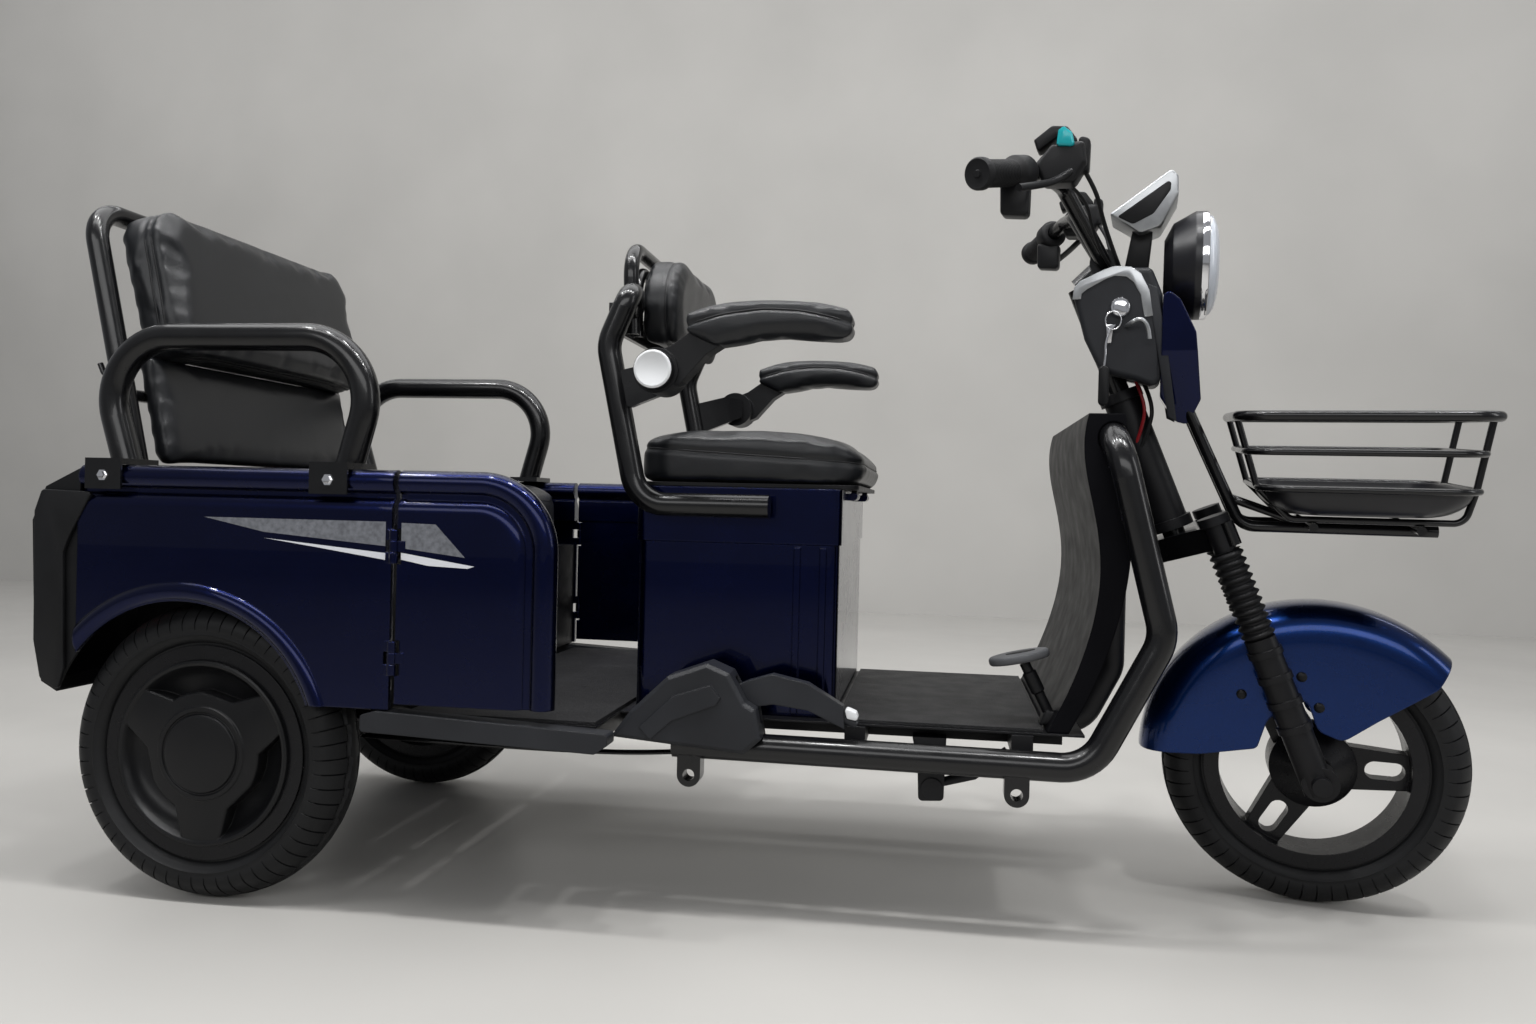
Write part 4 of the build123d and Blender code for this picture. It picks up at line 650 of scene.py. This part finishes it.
def back_cushion(name, node, low, rise, half, thick, gap, radii, seams, cap, softness):
    place = FRAME_MM @ leaning(low, gap)
    plan = arcs([(-half, 0, radii[0]), (half, 0, radii[0]), (half, rise, radii[1]),
                 (-half, rise, radii[1])])
    shape = prism("back", plan, thick, place)
    back = place.inverted()
    levels = [lambda p, w=w: (back @ p).z * MM - w * MM for w in seams]
    normal = (place.to_3x3() @ Vector((0, 0, 1))).normalized()
    cushion(name, shape, "frame", node, 0.007, softness, cap, rest=(place.translation, tuple(normal)),
            seams=levels)


back_cushion("rear_back_pad", "rear_back_upper", 742, 236, 271, 68, 15.3, (30, 56), (40, 50), 0.010, 6)
back_cushion("rear_back_panel", "rear_back_lower", 594, 168, 267, 25, 9.3, (14, 14), (), 0.006, 3)

# Rear bench
bench_side = [(-112, 475.6), (262, 475.6), (270, 500), (266, 568), (240, 580), (-100, 578), (-112, 566)]
bench_plan = arcs([(-112, -316, 40), (272, -316, 30), (272, 316, 30), (-112, 316, 40)])
shape = common(prism("side", bench_side, 660, FRAME_MM @ side_plane(330)),
               prism("plan", bench_plan, 140, FRAME_MM @ Matrix.Translation((0, 0, 460))))
bench_edge = at(0, 0, 560).z
cushion("rear_bench_pad", shape, "frame", "rear_cushion", 0.009, 5, 0.009,
        rest=(at(0, 0, 475.6), (0, 0, 1)),
        seams=[lambda p: p.z - bench_edge, lambda p: p.y], finer=False)

# Armrest pads
ARM_VIEW = [(649, 787), (652, 810), (682, 820), (717, 826), (752, 828), (790, 827), (827, 823),
            (863, 816), (871, 804), (872, 789), (866, 779), (853, 776), (816, 780), (778, 781),
            (744, 778), (719, 772), (690, 768)]
ARM_SEAM = [(640, 789), (668, 799), (700, 808), (752, 815), (800, 813), (840, 805), (880, 793)]


def arm_seam_level(p):
    x, z = (p.x - REAR_X) / MM, p.z / MM
    return (z - float(np.interp(x, [s[0] for s in ARM_SEAM], [s[1] for s in ARM_SEAM]))) * MM


for side, sign in (("left", 1), ("right", -1)):
    shape = prism("arm", ARM_VIEW, 50, FRAME_MM @ side_plane(sign * 296 + 25))
    cushion("armrest_cushion_" + side, shape, "armrest_" + side, "armrest_pad_" + side, 0.0045, 4,
            0.004, seams=[arm_seam_level])

# Tyres

TYRE_R, TYRE_HALF, BEAD_HALF = 205.0, 43.0, 30.0
SHOULDER = (36.0, 188.0)
LIP_R = 150.0
BELLY = (43.0, 173.0)
BLOCKS = 58
RING_R = 163.0


def circle_through(a, b, c):
    """Centre and radius of the circle through three points."""
    ax, ay, bx, by, cx, cy = *a, *b, *c
    d = 2 * (ax * (by - cy) + bx * (cy - ay) + cx * (ay - by))
    ux = ((ax**2 + ay**2) * (by - cy) + (bx**2 + by**2) * (cy - ay) + (cx**2 + cy**2) * (ay - by)) / d
    uy = ((ax**2 + ay**2) * (cx - bx) + (bx**2 + by**2) * (ax - cx) + (cx**2 + cy**2) * (bx - ax)) / d
    return (ux, uy), sqrt((ax - ux)**2 + (ay - uy)**2)


def arc_points(a, b, c, count):
    """Points on the arc from a through b to c."""
    (ux, uy), r = circle_through(a, b, c)
    start, mid, end = (atan2(p[1] - uy, p[0] - ux) for p in (a, b, c))
    sweep = (end - start + pi) % (2 * pi) - pi
    if abs(((mid - start + pi) % (2 * pi) - pi)) > abs(sweep):
        sweep -= 2 * pi * (1 if sweep > 0 else -1)
    return [(ux + r * cos(start + sweep * k / count), uy + r * sin(start + sweep * k / count))
            for k in range(count + 1)]


def tyre_section():
    """Section from the bead over the belly to the crown, mirrored to the other bead, as (y, r) points."""
    wall = arc_points((BEAD_HALF, LIP_R), BELLY, SHOULDER, 16)
    crown = arc_points(SHOULDER, (SHOULDER[0] * 0.5, TYRE_R - 4.3), (0, TYRE_R), 15)
    half = wall + crown[1:]
    return half + [(-y, r) for y, r in reversed(half[:-1])]


def tyre_mesh(name, place):
    section = tyre_section()
    pitch = 2 * pi / BLOCKS
    shares = [0.0, 0.035, 0.075, 0.11, 0.35, 0.60]
    columns = [(k + share) * pitch for k in range(BLOCKS) for share in shares]
    bm = bmesh.new()
    rows = []
    for a in columns:
        slit = 0.01 < (a / pitch) % 1 < 0.09
        row = []
        for y, r in section:
            depth = 0.0
            wave = 2.5 * sin(a * BLOCKS / 2)
            if r > 169 and abs(y) > 15 and slit:
                depth = 3.0 if r > 180 else 1.2
            if r > 196 and abs(abs(y) - 13 - wave) < 2.6:
                depth = 3.4
            if abs(r - RING_R) < 1.4:
                depth = -1.6
            out = (y / TYRE_HALF, (r - 165) / 40)
            size = sqrt(out[0]**2 + out[1]**2)
            yy, rr = y - depth * out[0] / size, r - depth * out[1] / size
            row.append(bm.verts.new((rr * cos(a), yy, rr * sin(a))))
        rows.append(row)
    for k in range(len(rows)):
        a, b = rows[k], rows[(k + 1) % len(rows)]
        for i in range(len(section) - 1):
            bm.faces.new((a[i], a[i + 1], b[i + 1], b[i]))
    inner = [[bm.verts.new((138.3 * cos(a), y, 138.3 * sin(a))) for y in (BEAD_HALF, -BEAD_HALF)]
             for a in columns]
    for k in range(len(rows)):
        n = (k + 1) % len(rows)
        bm.faces.new((inner[k][0], rows[k][0], rows[n][0], inner[n][0]))
        bm.faces.new((rows[k][-1], inner[k][1], inner[n][1], rows[n][-1]))
        bm.faces.new((inner[k][1], inner[k][0], inner[n][0], inner[n][1]))
    return from_bmesh(bm, name, place)


FRONT_AXLE = (1531, 0, 205.0)
for node_name, body, place in (
        ("front_tyre", "front_wheel", STEER_MM @ Matrix.Translation(FRONT_AXLE)),
        ("rear_tyre_left", "rear_wheel_left", FRAME_MM @ Matrix.Translation((0, 322.5, 205))),
        ("rear_tyre_right", "rear_wheel_right", FRAME_MM @ Matrix.Translation((0, -322.5, 205)))):
    put(node_name + "_tread", tyre_mesh(node_name, place), body, "tyre", replaces=[node_name], sharp=32)

# Detail tools

ABOUT_X = Matrix.Rotation(radians(-90), 4, "Z")


def moved(x, y, z):
    return Matrix.Translation((x, y, z))


def slab_mesh(name, points, depth, place, bevel=0.0, segments=2):
    """Prism with rounded rims, set in place."""
    bm = bmesh.new()
    slab(bm, points, depth, bevel=bevel, segments=segments)
    return from_bmesh(bm, name, place)


def lathe_mesh(name, profile, place, steps=64, closed=False):
    """(axial, radial) points turned about local Y, set in place."""
    bm = bmesh.new()
    lathe(bm, profile, steps=steps, closed=closed)
    return from_bmesh(bm, name, place)


def along(start, end):
    """Matrix with local Y from one point to the other."""
    a, b = Vector(start), Vector(end)
    turn_y = Vector((0, 1, 0)).rotation_difference(b - a).to_matrix().to_4x4()
    return Matrix.Translation(a) @ turn_y


def cable(name, points, diameter, body, matrix, slot, look=None):
    """A free cable through points in millimetres, back into the object at both ends."""
    curve = bpy.data.curves.new(name, "CURVE")
    curve.dimensions = "3D"
    curve.resolution_u = 12
    spline = curve.splines.new("NURBS")
    spline.points.add(len(points) - 1)
    for point, place in zip(spline.points, points):
        point.co = (*(matrix @ Vector(place)), 1)
    spline.order_u = 3
    spline.use_endpoint_u = True
    obj = linked(name, curve)
    line = evaluated_mesh(obj)
    bpy.data.meshes.remove(line)
    curve.bevel_depth = diameter / 2
    curve.bevel_resolution = 3
    curve.use_fill_caps = True
    curve.materials.append(PAINT[look or slot])
    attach(obj, body)
    return obj


# Rear wheel covers

STAR_HUB_R, STAR_ARM_R = 84.0, 123.0
STAR_ARMS = (150, 30, 270)


def star_outline():
    """Three broad arms on a round hub."""
    points = []
    for arm in sorted(STAR_ARMS):
        for step in range(-5, 1):
            a = radians(arm - 28 + step * 6.4)
            points.append((STAR_HUB_R * cos(a), STAR_HUB_R * sin(a)))
        for offset, r in ((-19, 104), (-13.5, STAR_ARM_R), (0, STAR_ARM_R + 2), (13.5, STAR_ARM_R),
                          (19, 104)):
            a = radians(arm + offset)
            points.append((r * cos(a), r * sin(a)))
        a = radians(arm + 28)
        points.append((STAR_HUB_R * cos(a), STAR_HUB_R * sin(a)))
    return points


DISH = [(33.0, 128.0), (39.5, 126.5), (41.0, 123.5), (40.0, 120.0), (35.5, 117.0), (27.0, 113.5),
        (19.0, 104.0), (15.0, 88.0), (14.0, 60.0), (14.0, 0.0)]
CAP = [(37.0, 66.0), (41.5, 63.0), (41.5, 57.5), (38.5, 56.0), (38.5, 54.5), (42.5, 52.5), (43.8, 48.0),
       (44.3, 0.0)]
for side, sign in (("left", 1), ("right", -1)):
    outward = FRAME_MM @ moved(0, sign * 322.5, 205) @ Matrix.Scale(sign, 4, (0, 1, 0))
    flat = outward @ moved(0, 12, 0) @ Matrix(((1, 0, 0, 0), (0, 0, 1, 0), (0, 1, 0, 0), (0, 0, 0, 1)))
    put("wheel_cover_%s_star" % side,
        joined([lathe_mesh("dish", DISH, outward, 96),
                slab_mesh("star", star_outline(), 27, flat, bevel=5.0, segments=3),
                lathe_mesh("cap", CAP, outward, 72)], "cover"),
        "rear_wheel_" + side, "cover_black", replaces=["wheel_cover_" + side], sharp=28)

# Front mudguard

AXLE = moved(*FRONT_AXLE)
GUARD_CROWN, GUARD_HALF, GUARD_WALL = 239.0, 64.0, 2.6


def guard_profile():
    """Section of the mudguard's shell: walls, broad shoulders and crown, and back inside."""
    outer = [(-GUARD_HALF, 40.0), (-GUARD_HALF, 120.0)]
    inner = [(-GUARD_HALF + GUARD_WALL, 40.0), (-GUARD_HALF + GUARD_WALL, 120.0)]
    for k in range(17):
        a = pi - pi * k / 16
        share = 0.72
        c, t = cos(a), sin(a)
        c = (abs(c) ** share) * (1 if c >= 0 else -1)
        t = t ** share
        outer.append((GUARD_HALF * c, 178 + (GUARD_CROWN - 178) * t))
        inner.append(((GUARD_HALF - GUARD_WALL) * c, 178 + (GUARD_CROWN - GUARD_WALL - 178) * t))
    outer += [(GUARD_HALF, 120.0), (GUARD_HALF, 40.0)]
    inner += [(GUARD_HALF - GUARD_WALL, 120.0), (GUARD_HALF - GUARD_WALL, 40.0)]
    return outer + inner[::-1]


GUARD_KEEP = arcs([(-262, 8, 0), (-154, 14, 60), (-78, 30, 10), (-66, 72, 22), (-20, 116, 14),
                   (0, 62, 20), (32, 50, 18), (75, 83, 60), (146, 133, 26), (172, 176, 18),
                   (198, 250, 0), (-60, 275, 0), (-262, 160, 0)])
shell = lathe_mesh("shell", guard_profile(), AXLE, 160, closed=True)
shell = common(shell, prism("keep", GUARD_KEEP, 180, AXLE @ side_plane(90)))
shell.transform(STEER_MM)
put("front_mudguard_shell", shell, "steering", "guard_blue", replaces=["front_mudguard"], sharp=45)
BOLT = [(0.0, 7.0), (2.0, 7.0), (3.6, 5.6), (4.2, 3.0), (4.4, 0.0)]
bolts = []
for sign in (1, -1):
    for x, z in ((1507, 343), (1531, 301), (1430, 312)):
        place = STEER_MM @ moved(x, sign * GUARD_HALF, z) @ Matrix.Scale(sign, 4, (0, 1, 0))
        bolts.append(lathe_mesh("bolt", BOLT, place, 20))
put("mudguard_bolts", joined(bolts, "bolts"), "steering", "black_plastic")

# Fork gaiters

CASTER = radians(22)


def fork_point(z, y):
    """Point on a fork leg's centre line, as if it pointed straight ahead."""
    foot = (z - 740 - 56 * sin(CASTER)) / cos(CASTER)
    return Vector((1250 - sin(CASTER) * foot + cos(CASTER) * 56, y, z))


FOLDS = 11
boots = []
for y in (-96, 96):
    low, high = fork_point(400.3, y), fork_point(519.6, y)
    length = (high - low).length
    profile = [(0.0, 15.2), (0.0, 20.5)]
    for k in range(FOLDS * 8 + 1):
        share = k / (FOLDS * 8)
        wave = cos(2 * pi * FOLDS * share)
        profile.append((share * length, 20.3 - 2.7 * wave))
    profile += [(length, 20.5), (length, 15.2)]
    boots.append(lathe_mesh("boot", profile, STEER_MM @ along(low, high), 40))
put("fork_gaiter_folds", joined(boots, "boots"), "steering", "rubber", replaces=["fork_gaiters"], sharp=60)

# Stripes, armrest caps and clamp bolts

SIDE_STRIPES = {
    "grey": [(10, 528), (98, 510), (271, 496), (271, 528)],
    "white": [(99, 502), (180, 491), (271, 478), (271, 487)],
}
DOOR_STRIPES = {
    "grey": [(293, 527), (293, 494), (381, 484), (340, 526)],
    "white": [(293, 488), (293, 479), (331, 472), (385, 470), (394, 473)],
}
for side, sign in (("left", 1), ("right", -1)):
    for label, stripes, body in (("side", SIDE_STRIPES, "frame"), ("door", DOOR_STRIPES, "door_" + side)):
        for tone, points in stripes.items():
            mesh = slab_mesh("stripe", points, 0.4, FRAME_MM @ side_plane(sign * 379.3 + 0.2))
            put("%s_stripe_%s_%s" % (label, tone, side), mesh, body, "grey_plastic", "decal_" + tone)
    cap = [(0.0, 25.0), (1.5, 25.0), (2.8, 23.6), (3.0, 22.0), (2.4, 21.2), (2.6, 0.0)]
    place = FRAME_MM @ moved(612, sign * 332.3, 735) @ Matrix.Scale(sign, 4, (0, 1, 0))
    put("armrest_cap_" + side, lathe_mesh("cap", cap, place, 48), "armrest_" + side, "grey_plastic",
        "white_plastic")
    bolts = []
    for x in (-140, 190):
        place = FRAME_MM @ moved(x, sign * 383.2, 581) @ Matrix.Scale(sign, 4, (0, 1, 0))
        bolts.append(lathe_mesh("bolt", [(0, 8), (1.2, 8), (1.2, 5.6), (4.6, 5.2), (5.2, 0)], place, 6))
    put("clamp_bolts_" + side, joined(bolts, "bolts"), "frame", "steel", "chrome", sharp=30)

# Cowl, lamp and display

BAND_OUT = [(1182, 876), (1184, 893), (1192, 902), (1226, 918), (1240, 922), (1262, 920), (1276, 910),
            (1288, 886), (1294, 850)]
BAND_IN = [(1282, 848), (1276, 880), (1266, 898), (1256, 906), (1240, 908), (1228, 904), (1202, 890),
           (1195, 884), (1194, 876)]
bands = [slab_mesh("band", BAND_OUT + BAND_IN, 2.4, STEER_MM @ side_plane(y), bevel=0.8)
         for y in (-77.2, 79.6)]
put("cowl_band", joined(bands, "bands"), "steering", "steel", "trim_silver")
EDGE = [(1284, 896), (1298, 890), (1312, 820), (1330, 700), (1318, 706), (1298, 816)]
edges = [slab_mesh("edge", EDGE, 2.0, STEER_MM @ side_plane(y), bevel=0.7) for y in (-77.4, 79.4)]
put("cowl_edge", joined(edges, "edges"), "steering", "grey_plastic")

KEY = (1249, -78, 863)
barrel = [(0, 15), (4, 14.5), (6, 12.5), (6, 9.5), (4.4, 8.6), (4.4, 0)]
face = STEER_MM @ moved(*KEY) @ Matrix.Scale(-1, 4, (0, 1, 0))
put("key_switch", lathe_mesh("barrel", barrel, face, 40), "steering", "steel", "chrome")
key_side = STEER_MM @ side_plane(-83)
bow = slab_mesh("bow", arcs([(1240, 852, 5), (1258, 852, 5), (1258, 872, 7), (1240, 872, 7)]), 3.2,
                key_side, bevel=1.0)
ring = tube_mesh([(1240 + 11 * cos(a), -87, 844 + 13 * sin(a)) for a in
                  [2 * pi * k / 16 for k in range(16)]], 1.1, STEER_MM, cyclic=True)
second = slab_mesh("second", [(1232, 812), (1238, 812), (1240, 832), (1244, 838), (1230, 838),
                              (1231, 832)], 2.0, STEER_MM @ side_plane(-86), bevel=0.6)
chain = tube_mesh([(1236, -87, 832), (1230, -88, 812), (1231, -88, 790), (1229, -88, 776)], 1.8, STEER_MM)
put("keys", joined([bow, ring, second, chain], "keys"), "steering", "steel", "chrome")
fob = slab_mesh("fob", arcs([(1222, 722, 7), (1237, 722, 7), (1237, 780, 7), (1222, 780, 7)]), 7.0,
                STEER_MM @ side_plane(-84.5), bevel=2.4, segments=3)
put("key_fob", fob, "steering", "black_plastic")
hook = tube_mesh([(1258, -77, 836), (1262, -94, 838), (1276, -98, 846), (1288, -97, 836),
                  (1290, -95, 816)], 3.2, STEER_MM)
put("cowl_hook", hook, "steering", "steel", "trim_silver")

lamp = STEER_MM @ moved(1362, 0, 928) @ ABOUT_X
put("lamp_ring", lathe_mesh("ring", [(-5, 78.2), (0, 78.8), (3.4, 77.6), (4.4, 75.4), (3.4, 73.4),
                                     (-3, 73.0)], lamp, 96), "steering", "steel", "chrome")
put("lamp_glass", lathe_mesh("glass", [(-2, 73.0), (3.5, 73.2), (9, 70.4), (14, 62), (18, 48), (20, 26),
                                       (20.6, 0)], lamp, 96), "steering", "lens", "lens_milk",
    replaces=["headlight_lens"])

POD = arcs([(1228, 1000, 3), (1312, 1060, 6), (1322, 1050, 8), (1323, 1024, 10), (1300, 980, 12),
            (1272, 971, 10), (1252, 985, 8)])
put("display_shell", slab_mesh("shell", POD, 104, STEER_MM @ side_plane(52), bevel=4, segments=3),
    "steering", "steel", "trim_silver", replaces=["display"])
CHEEK = arcs([(1240, 996, 2), (1313, 1046, 4), (1312, 1030, 8), (1290, 998, 10), (1262, 984, 8)])
foot = slab_mesh("foot", [(1250, 918), (1284, 918), (1290, 985), (1262, 985)], 52, STEER_MM @ side_plane(26),
                 bevel=3)
cheeks = [slab_mesh("cheek", CHEEK, 3, STEER_MM @ side_plane(y), bevel=1) for y in (-50.6, 53.6)]
put("display_body", joined(cheeks + [foot], "body"), "steering", "black_plastic")
screen_x = Vector((84, 0, 60)).normalized()
screen_z = Vector((-60, 0, 84)).normalized()
screen_rows = Matrix((screen_x, Vector((0, 1, 0)), screen_z)).transposed().to_4x4()
screen = STEER_MM @ moved(1228, 0, 1000) @ screen_rows
put("display_glass", slab_mesh("glass", arcs([(8, -44, 8), (92, -44, 11), (92, 44, 11), (8, 44, 8)]), 1.4,
                               screen @ moved(0, 0, -0.5), bevel=0.5), "steering", "gloss_black")

# Handlebar

BAR_END, BAR_ELBOW = (1083, 330, 1008), (1147, 196, 1034)
grips, pods, levers, buttons = [], [], [], []
for sign in (1, -1):
    tip = Vector((BAR_END[0], sign * BAR_END[1], BAR_END[2]))
    elbow = Vector((BAR_ELBOW[0], sign * BAR_ELBOW[1], BAR_ELBOW[2]))
    inward = (elbow - tip).normalized()
    profile = [(-9, 0), (-9, 4.5), (-7, 5.2), (-7, 15), (-8, 18.5), (-5, 20.5), (3, 20.5), (6, 18.6)]
    reach = 8.0
    while reach < 68:
        profile += [(reach, 16.4), (reach + 0.8, 17.6), (reach + 2.2, 17.6), (reach + 3.0, 16.4)]
        reach += 3.6
    profile += [(72, 17.0), (75, 21.5), (79, 23.0), (100, 23.0), (104, 21.5), (106, 17.0), (106, 12.0)]
    grips.append(lathe_mesh("grip", profile, STEER_MM @ along(tip, elbow), 40))
    pod = [(1150, 1012, 8), (1190, 1010, 10), (1206, 1036, 8), (1202, 1064, 6), (1160, 1062, 6),
           (1138, 1036, 8)]
    pods.append(slab_mesh("pod", arcs(pod), 46, STEER_MM @ side_plane(sign * 213 + 23), bevel=6,
                          segments=3))
    hood = [(1137, 1070, 3), (1160, 1087, 8), (1180, 1085, 8), (1194, 1066, 5), (1186, 1056, 3),
            (1168, 1072, 5), (1142, 1054, 3)]
    pods.append(slab_mesh("hood", arcs(hood), 34, STEER_MM @ side_plane(sign * 213 + 17), bevel=3))
    perch = [(1192, 1026, 4), (1208, 1028, 5), (1209, 1070, 7), (1194, 1075, 5)]
    pods.append(slab_mesh("perch", arcs(perch), 28, STEER_MM @ side_plane(sign * 205 + 14), bevel=4))
    block = [(1100, 967, 7), (1136, 964, 7), (1137, 1006, 5), (1099, 1010, 5)]
    pods.append(slab_mesh("block", arcs(block), 32, STEER_MM @ side_plane(sign * 252 + 16), bevel=4))
    button = [(1167, 1058, 4), (1191, 1056, 4), (1187, 1074, 5), (1176, 1083, 4), (1169, 1078, 3)]
    buttons.append(slab_mesh("button", arcs(button), 24, STEER_MM @ side_plane(sign * 229 + 12), bevel=3))
    levers.append(tube_mesh([elbow + Vector((48, sign * 12, 2)), elbow + Vector((46, sign * 34, -4)),
                             tip + inward * 96 + Vector((44, 0, -14)),
                             tip + inward * 52 + Vector((42, 0, -18)),
                             tip + inward * 18 + Vector((38, 0, -20))], 5.0, STEER_MM))
put("grip_ribs", joined(grips, "grips"), "steering", "rubber", replaces=["grips"], sharp=50)
put("switch_pods", joined(pods, "pods"), "steering", "black_plastic", replaces=["control_pods"])
put("brake_levers", joined(levers, "levers"), "steering", "black_plastic")
put("switch_buttons", joined(buttons, "buttons"), "steering", "grey_plastic", "teal")

for sign, side in ((-1, "right"), (1, "left")):
    cable("throttle_cable_" + side,
          [(1196, sign * 206, 1040), (1216, sign * 186, 1010), (1222, sign * 140, 984),
           (1234, sign * 86, 950), (1248, sign * 52, 916)], 0.006, "steering", STEER_MM, "rubber")
    cable("brake_cable_" + side,
          [(1180, sign * 200, 1016), (1202, sign * 166, 1004), (1210, sign * 120, 966),
           (1222, sign * 70, 938), (1240, sign * 46, 914)], 0.005, "steering", STEER_MM, "rubber")
cable("loom_red", [(1272, -26, 760), (1286, -34, 730), (1286, -36, 700), (1276, -24, 668)],
      0.005, "steering", STEER_MM, "rubber", "wire_red")
cable("loom_black", [(1282, -18, 760), (1298, -28, 728), (1294, -34, 690), (1280, -22, 656)],
      0.006, "steering", STEER_MM, "rubber")

# Pedal, hand-brake, rods under the floor and tail trim

tread = Matrix.Rotation(radians(-13), 4, "Y")
pad_place = FRAME_MM @ moved(1098, -196, 358) @ tread
oval = [(41 * cos(a), 29 * sin(a)) for a in [2 * pi * k / 40 for k in range(40)]]
slot_oval = [(20 * cos(a) + 3, 8 * sin(a)) for a in [2 * pi * k / 28 for k in range(28)]]
put("pedal_pad", slab_mesh("pad", oval, 12, pad_place, bevel=4.5, segments=4), "frame", "rubber",
    "rubber_grey", replaces=["brake_pedal"])
put("pedal_slot", slab_mesh("slot", slot_oval, 1.2, pad_place @ moved(0, 0, 11.5), bevel=0.4), "frame",
    "rubber")
stem = lathe_mesh("stem", [(0, 0), (0, 7), (12, 7), (14, 9.5), (42, 9.5), (44, 7), (84, 7), (84, 0)],
                  FRAME_MM @ along((1104, -196, 356), (1142, -196, 281)), 28)
foot = slab_mesh("foot", arcs([(1124, 275, 2), (1160, 275, 2), (1156, 292, 5), (1132, 294, 5)]), 26,
                 FRAME_MM @ side_plane(-183), bevel=3)
put("pedal_stem", joined([stem, foot], "stem"), "frame", "black_plastic")
tip = slab_mesh("tip", arcs([(867, 297, 3), (883, 291, 3), (888, 279, 4), (871, 282, 3)]), 20,
                FRAME_MM @ side_plane(-255), bevel=2)
put("handbrake_button", tip, "frame", "grey_plastic", "white_plastic")

bracket = slab_mesh("bracket", arcs([(966, 164, 6), (1000, 166, 6), (1002, 252, 2), (956, 252, 2),
                                     (964, 212, 8)]), 30, FRAME_MM @ side_plane(-185), bevel=2)
boss = lathe_mesh("boss", [(0, 0), (0, 15), (36, 15), (36, 0)], FRAME_MM @ moved(984, -218, 182), 28)
brace = tube_mesh([(996, -198, 188), (1040, -198, 200), (1084, -198, 236)], 6.5, FRAME_MM, smooth=False)
put("stand_bracket", joined([bracket, boss, brace], "bracket"), "frame", "frame_black")
rods = [tube_mesh([(150, y, 206), (420, y, 200), (640, y, 206), (800, y, 232)], 2.6, FRAME_MM)
        for y in (-206, -196)]
put("brake_rods", joined(rods, "rods"), "frame", "steel", "black_tube")

TRIM = arcs([(-157, 558, 4), (-191, 497, 10), (-200, 474, 6), (-196, 314, 6), (-204, 284, 6),
             (-232, 300, 8), (-243, 352, 6), (-245, 530, 8), (-234, 560, 6)])
for side, top in (("right", -375), ("left", 382)):
    put("tail_trim_" + side, slab_mesh("trim", TRIM, 7, FRAME_MM @ side_plane(top), bevel=1.8), "frame",
        "black_plastic")

# Seat tube elbows

elbows = [tube_mesh([(539, sign * 243, 815), (546, sign * 243, 832), (551, sign * 239, 846),
                     (552, sign * 224, 854), (548, sign * 200, 853), (538, sign * 172, 842)], 16.4, FRAME_MM)
          for sign in (1, -1)]
put("seat_tube_elbows", joined(elbows, "elbows"), "frame", "black_tube")

# Basket tray and its carrier

CARRIER_Y, CARRIER_R = 40, 8.0


def round_rect(x0, x1, half, z, radius):
    """Rounded rectangle in a level plane."""
    return [Vector((x, y, z)) for x, y in arcs([(x0, -half, radius), (x1, -half, radius),
                                                (x1, half, radius), (x0, half, radius)])]


def tray_mesh(matrix):
    """Pressed tray: outer skin down from its brim, floor, and inner skin back up."""
    levels = [round_rect(1441, 1702, 139, 612.5, 44), round_rect(1441, 1702, 139, 610.5, 44)]
    for k in range(9):
        a = radians(90) * k / 8
        sink, fall = 1 - cos(a), sin(a)
        levels.append(round_rect(1447 + 41 * sink, 1697 - 46 * sink, 134 - 32 * sink, 610 - 36.5 * fall, 42))
    for k in range(8, -1, -1):
        a = radians(90) * k / 8
        sink, fall = 1 - cos(a), sin(a)
        levels.append(round_rect(1449 + 40 * sink, 1695 - 45 * sink, 132 - 31 * sink, 611.5 - 36 * fall, 41))
    bm = bmesh.new()
    rings = [[bm.verts.new(p) for p in level] for level in levels]
    rings.append(rings[0])
    half = 10
    for index in range(len(rings) - 1):
        if index == half:
            continue
        a, b = rings[index], rings[index + 1]
        for i in range(len(a)):
            j = (i + 1) % len(a)
            bm.faces.new((a[i], a[j], b[j], b[i]))
    bm.faces.new(rings[half])
    bm.faces.new(rings[half + 1])
    return from_bmesh(bm, "tray", matrix)


put("basket_tray_shell", tray_mesh(STEER_MM), "steering", "black_plastic", "lamp_black",
    replaces=["basket_tray"])
ends = [tube_mesh([(1362, y, 681), (1358, y, 690), (1344, y, 721), (1330, y, 752)], CARRIER_R, STEER_MM,
                  smooth=False) for y in (-CARRIER_Y, CARRIER_Y)]
put("carrier_ends", joined(ends, "ends"), "steering", "black_tube")
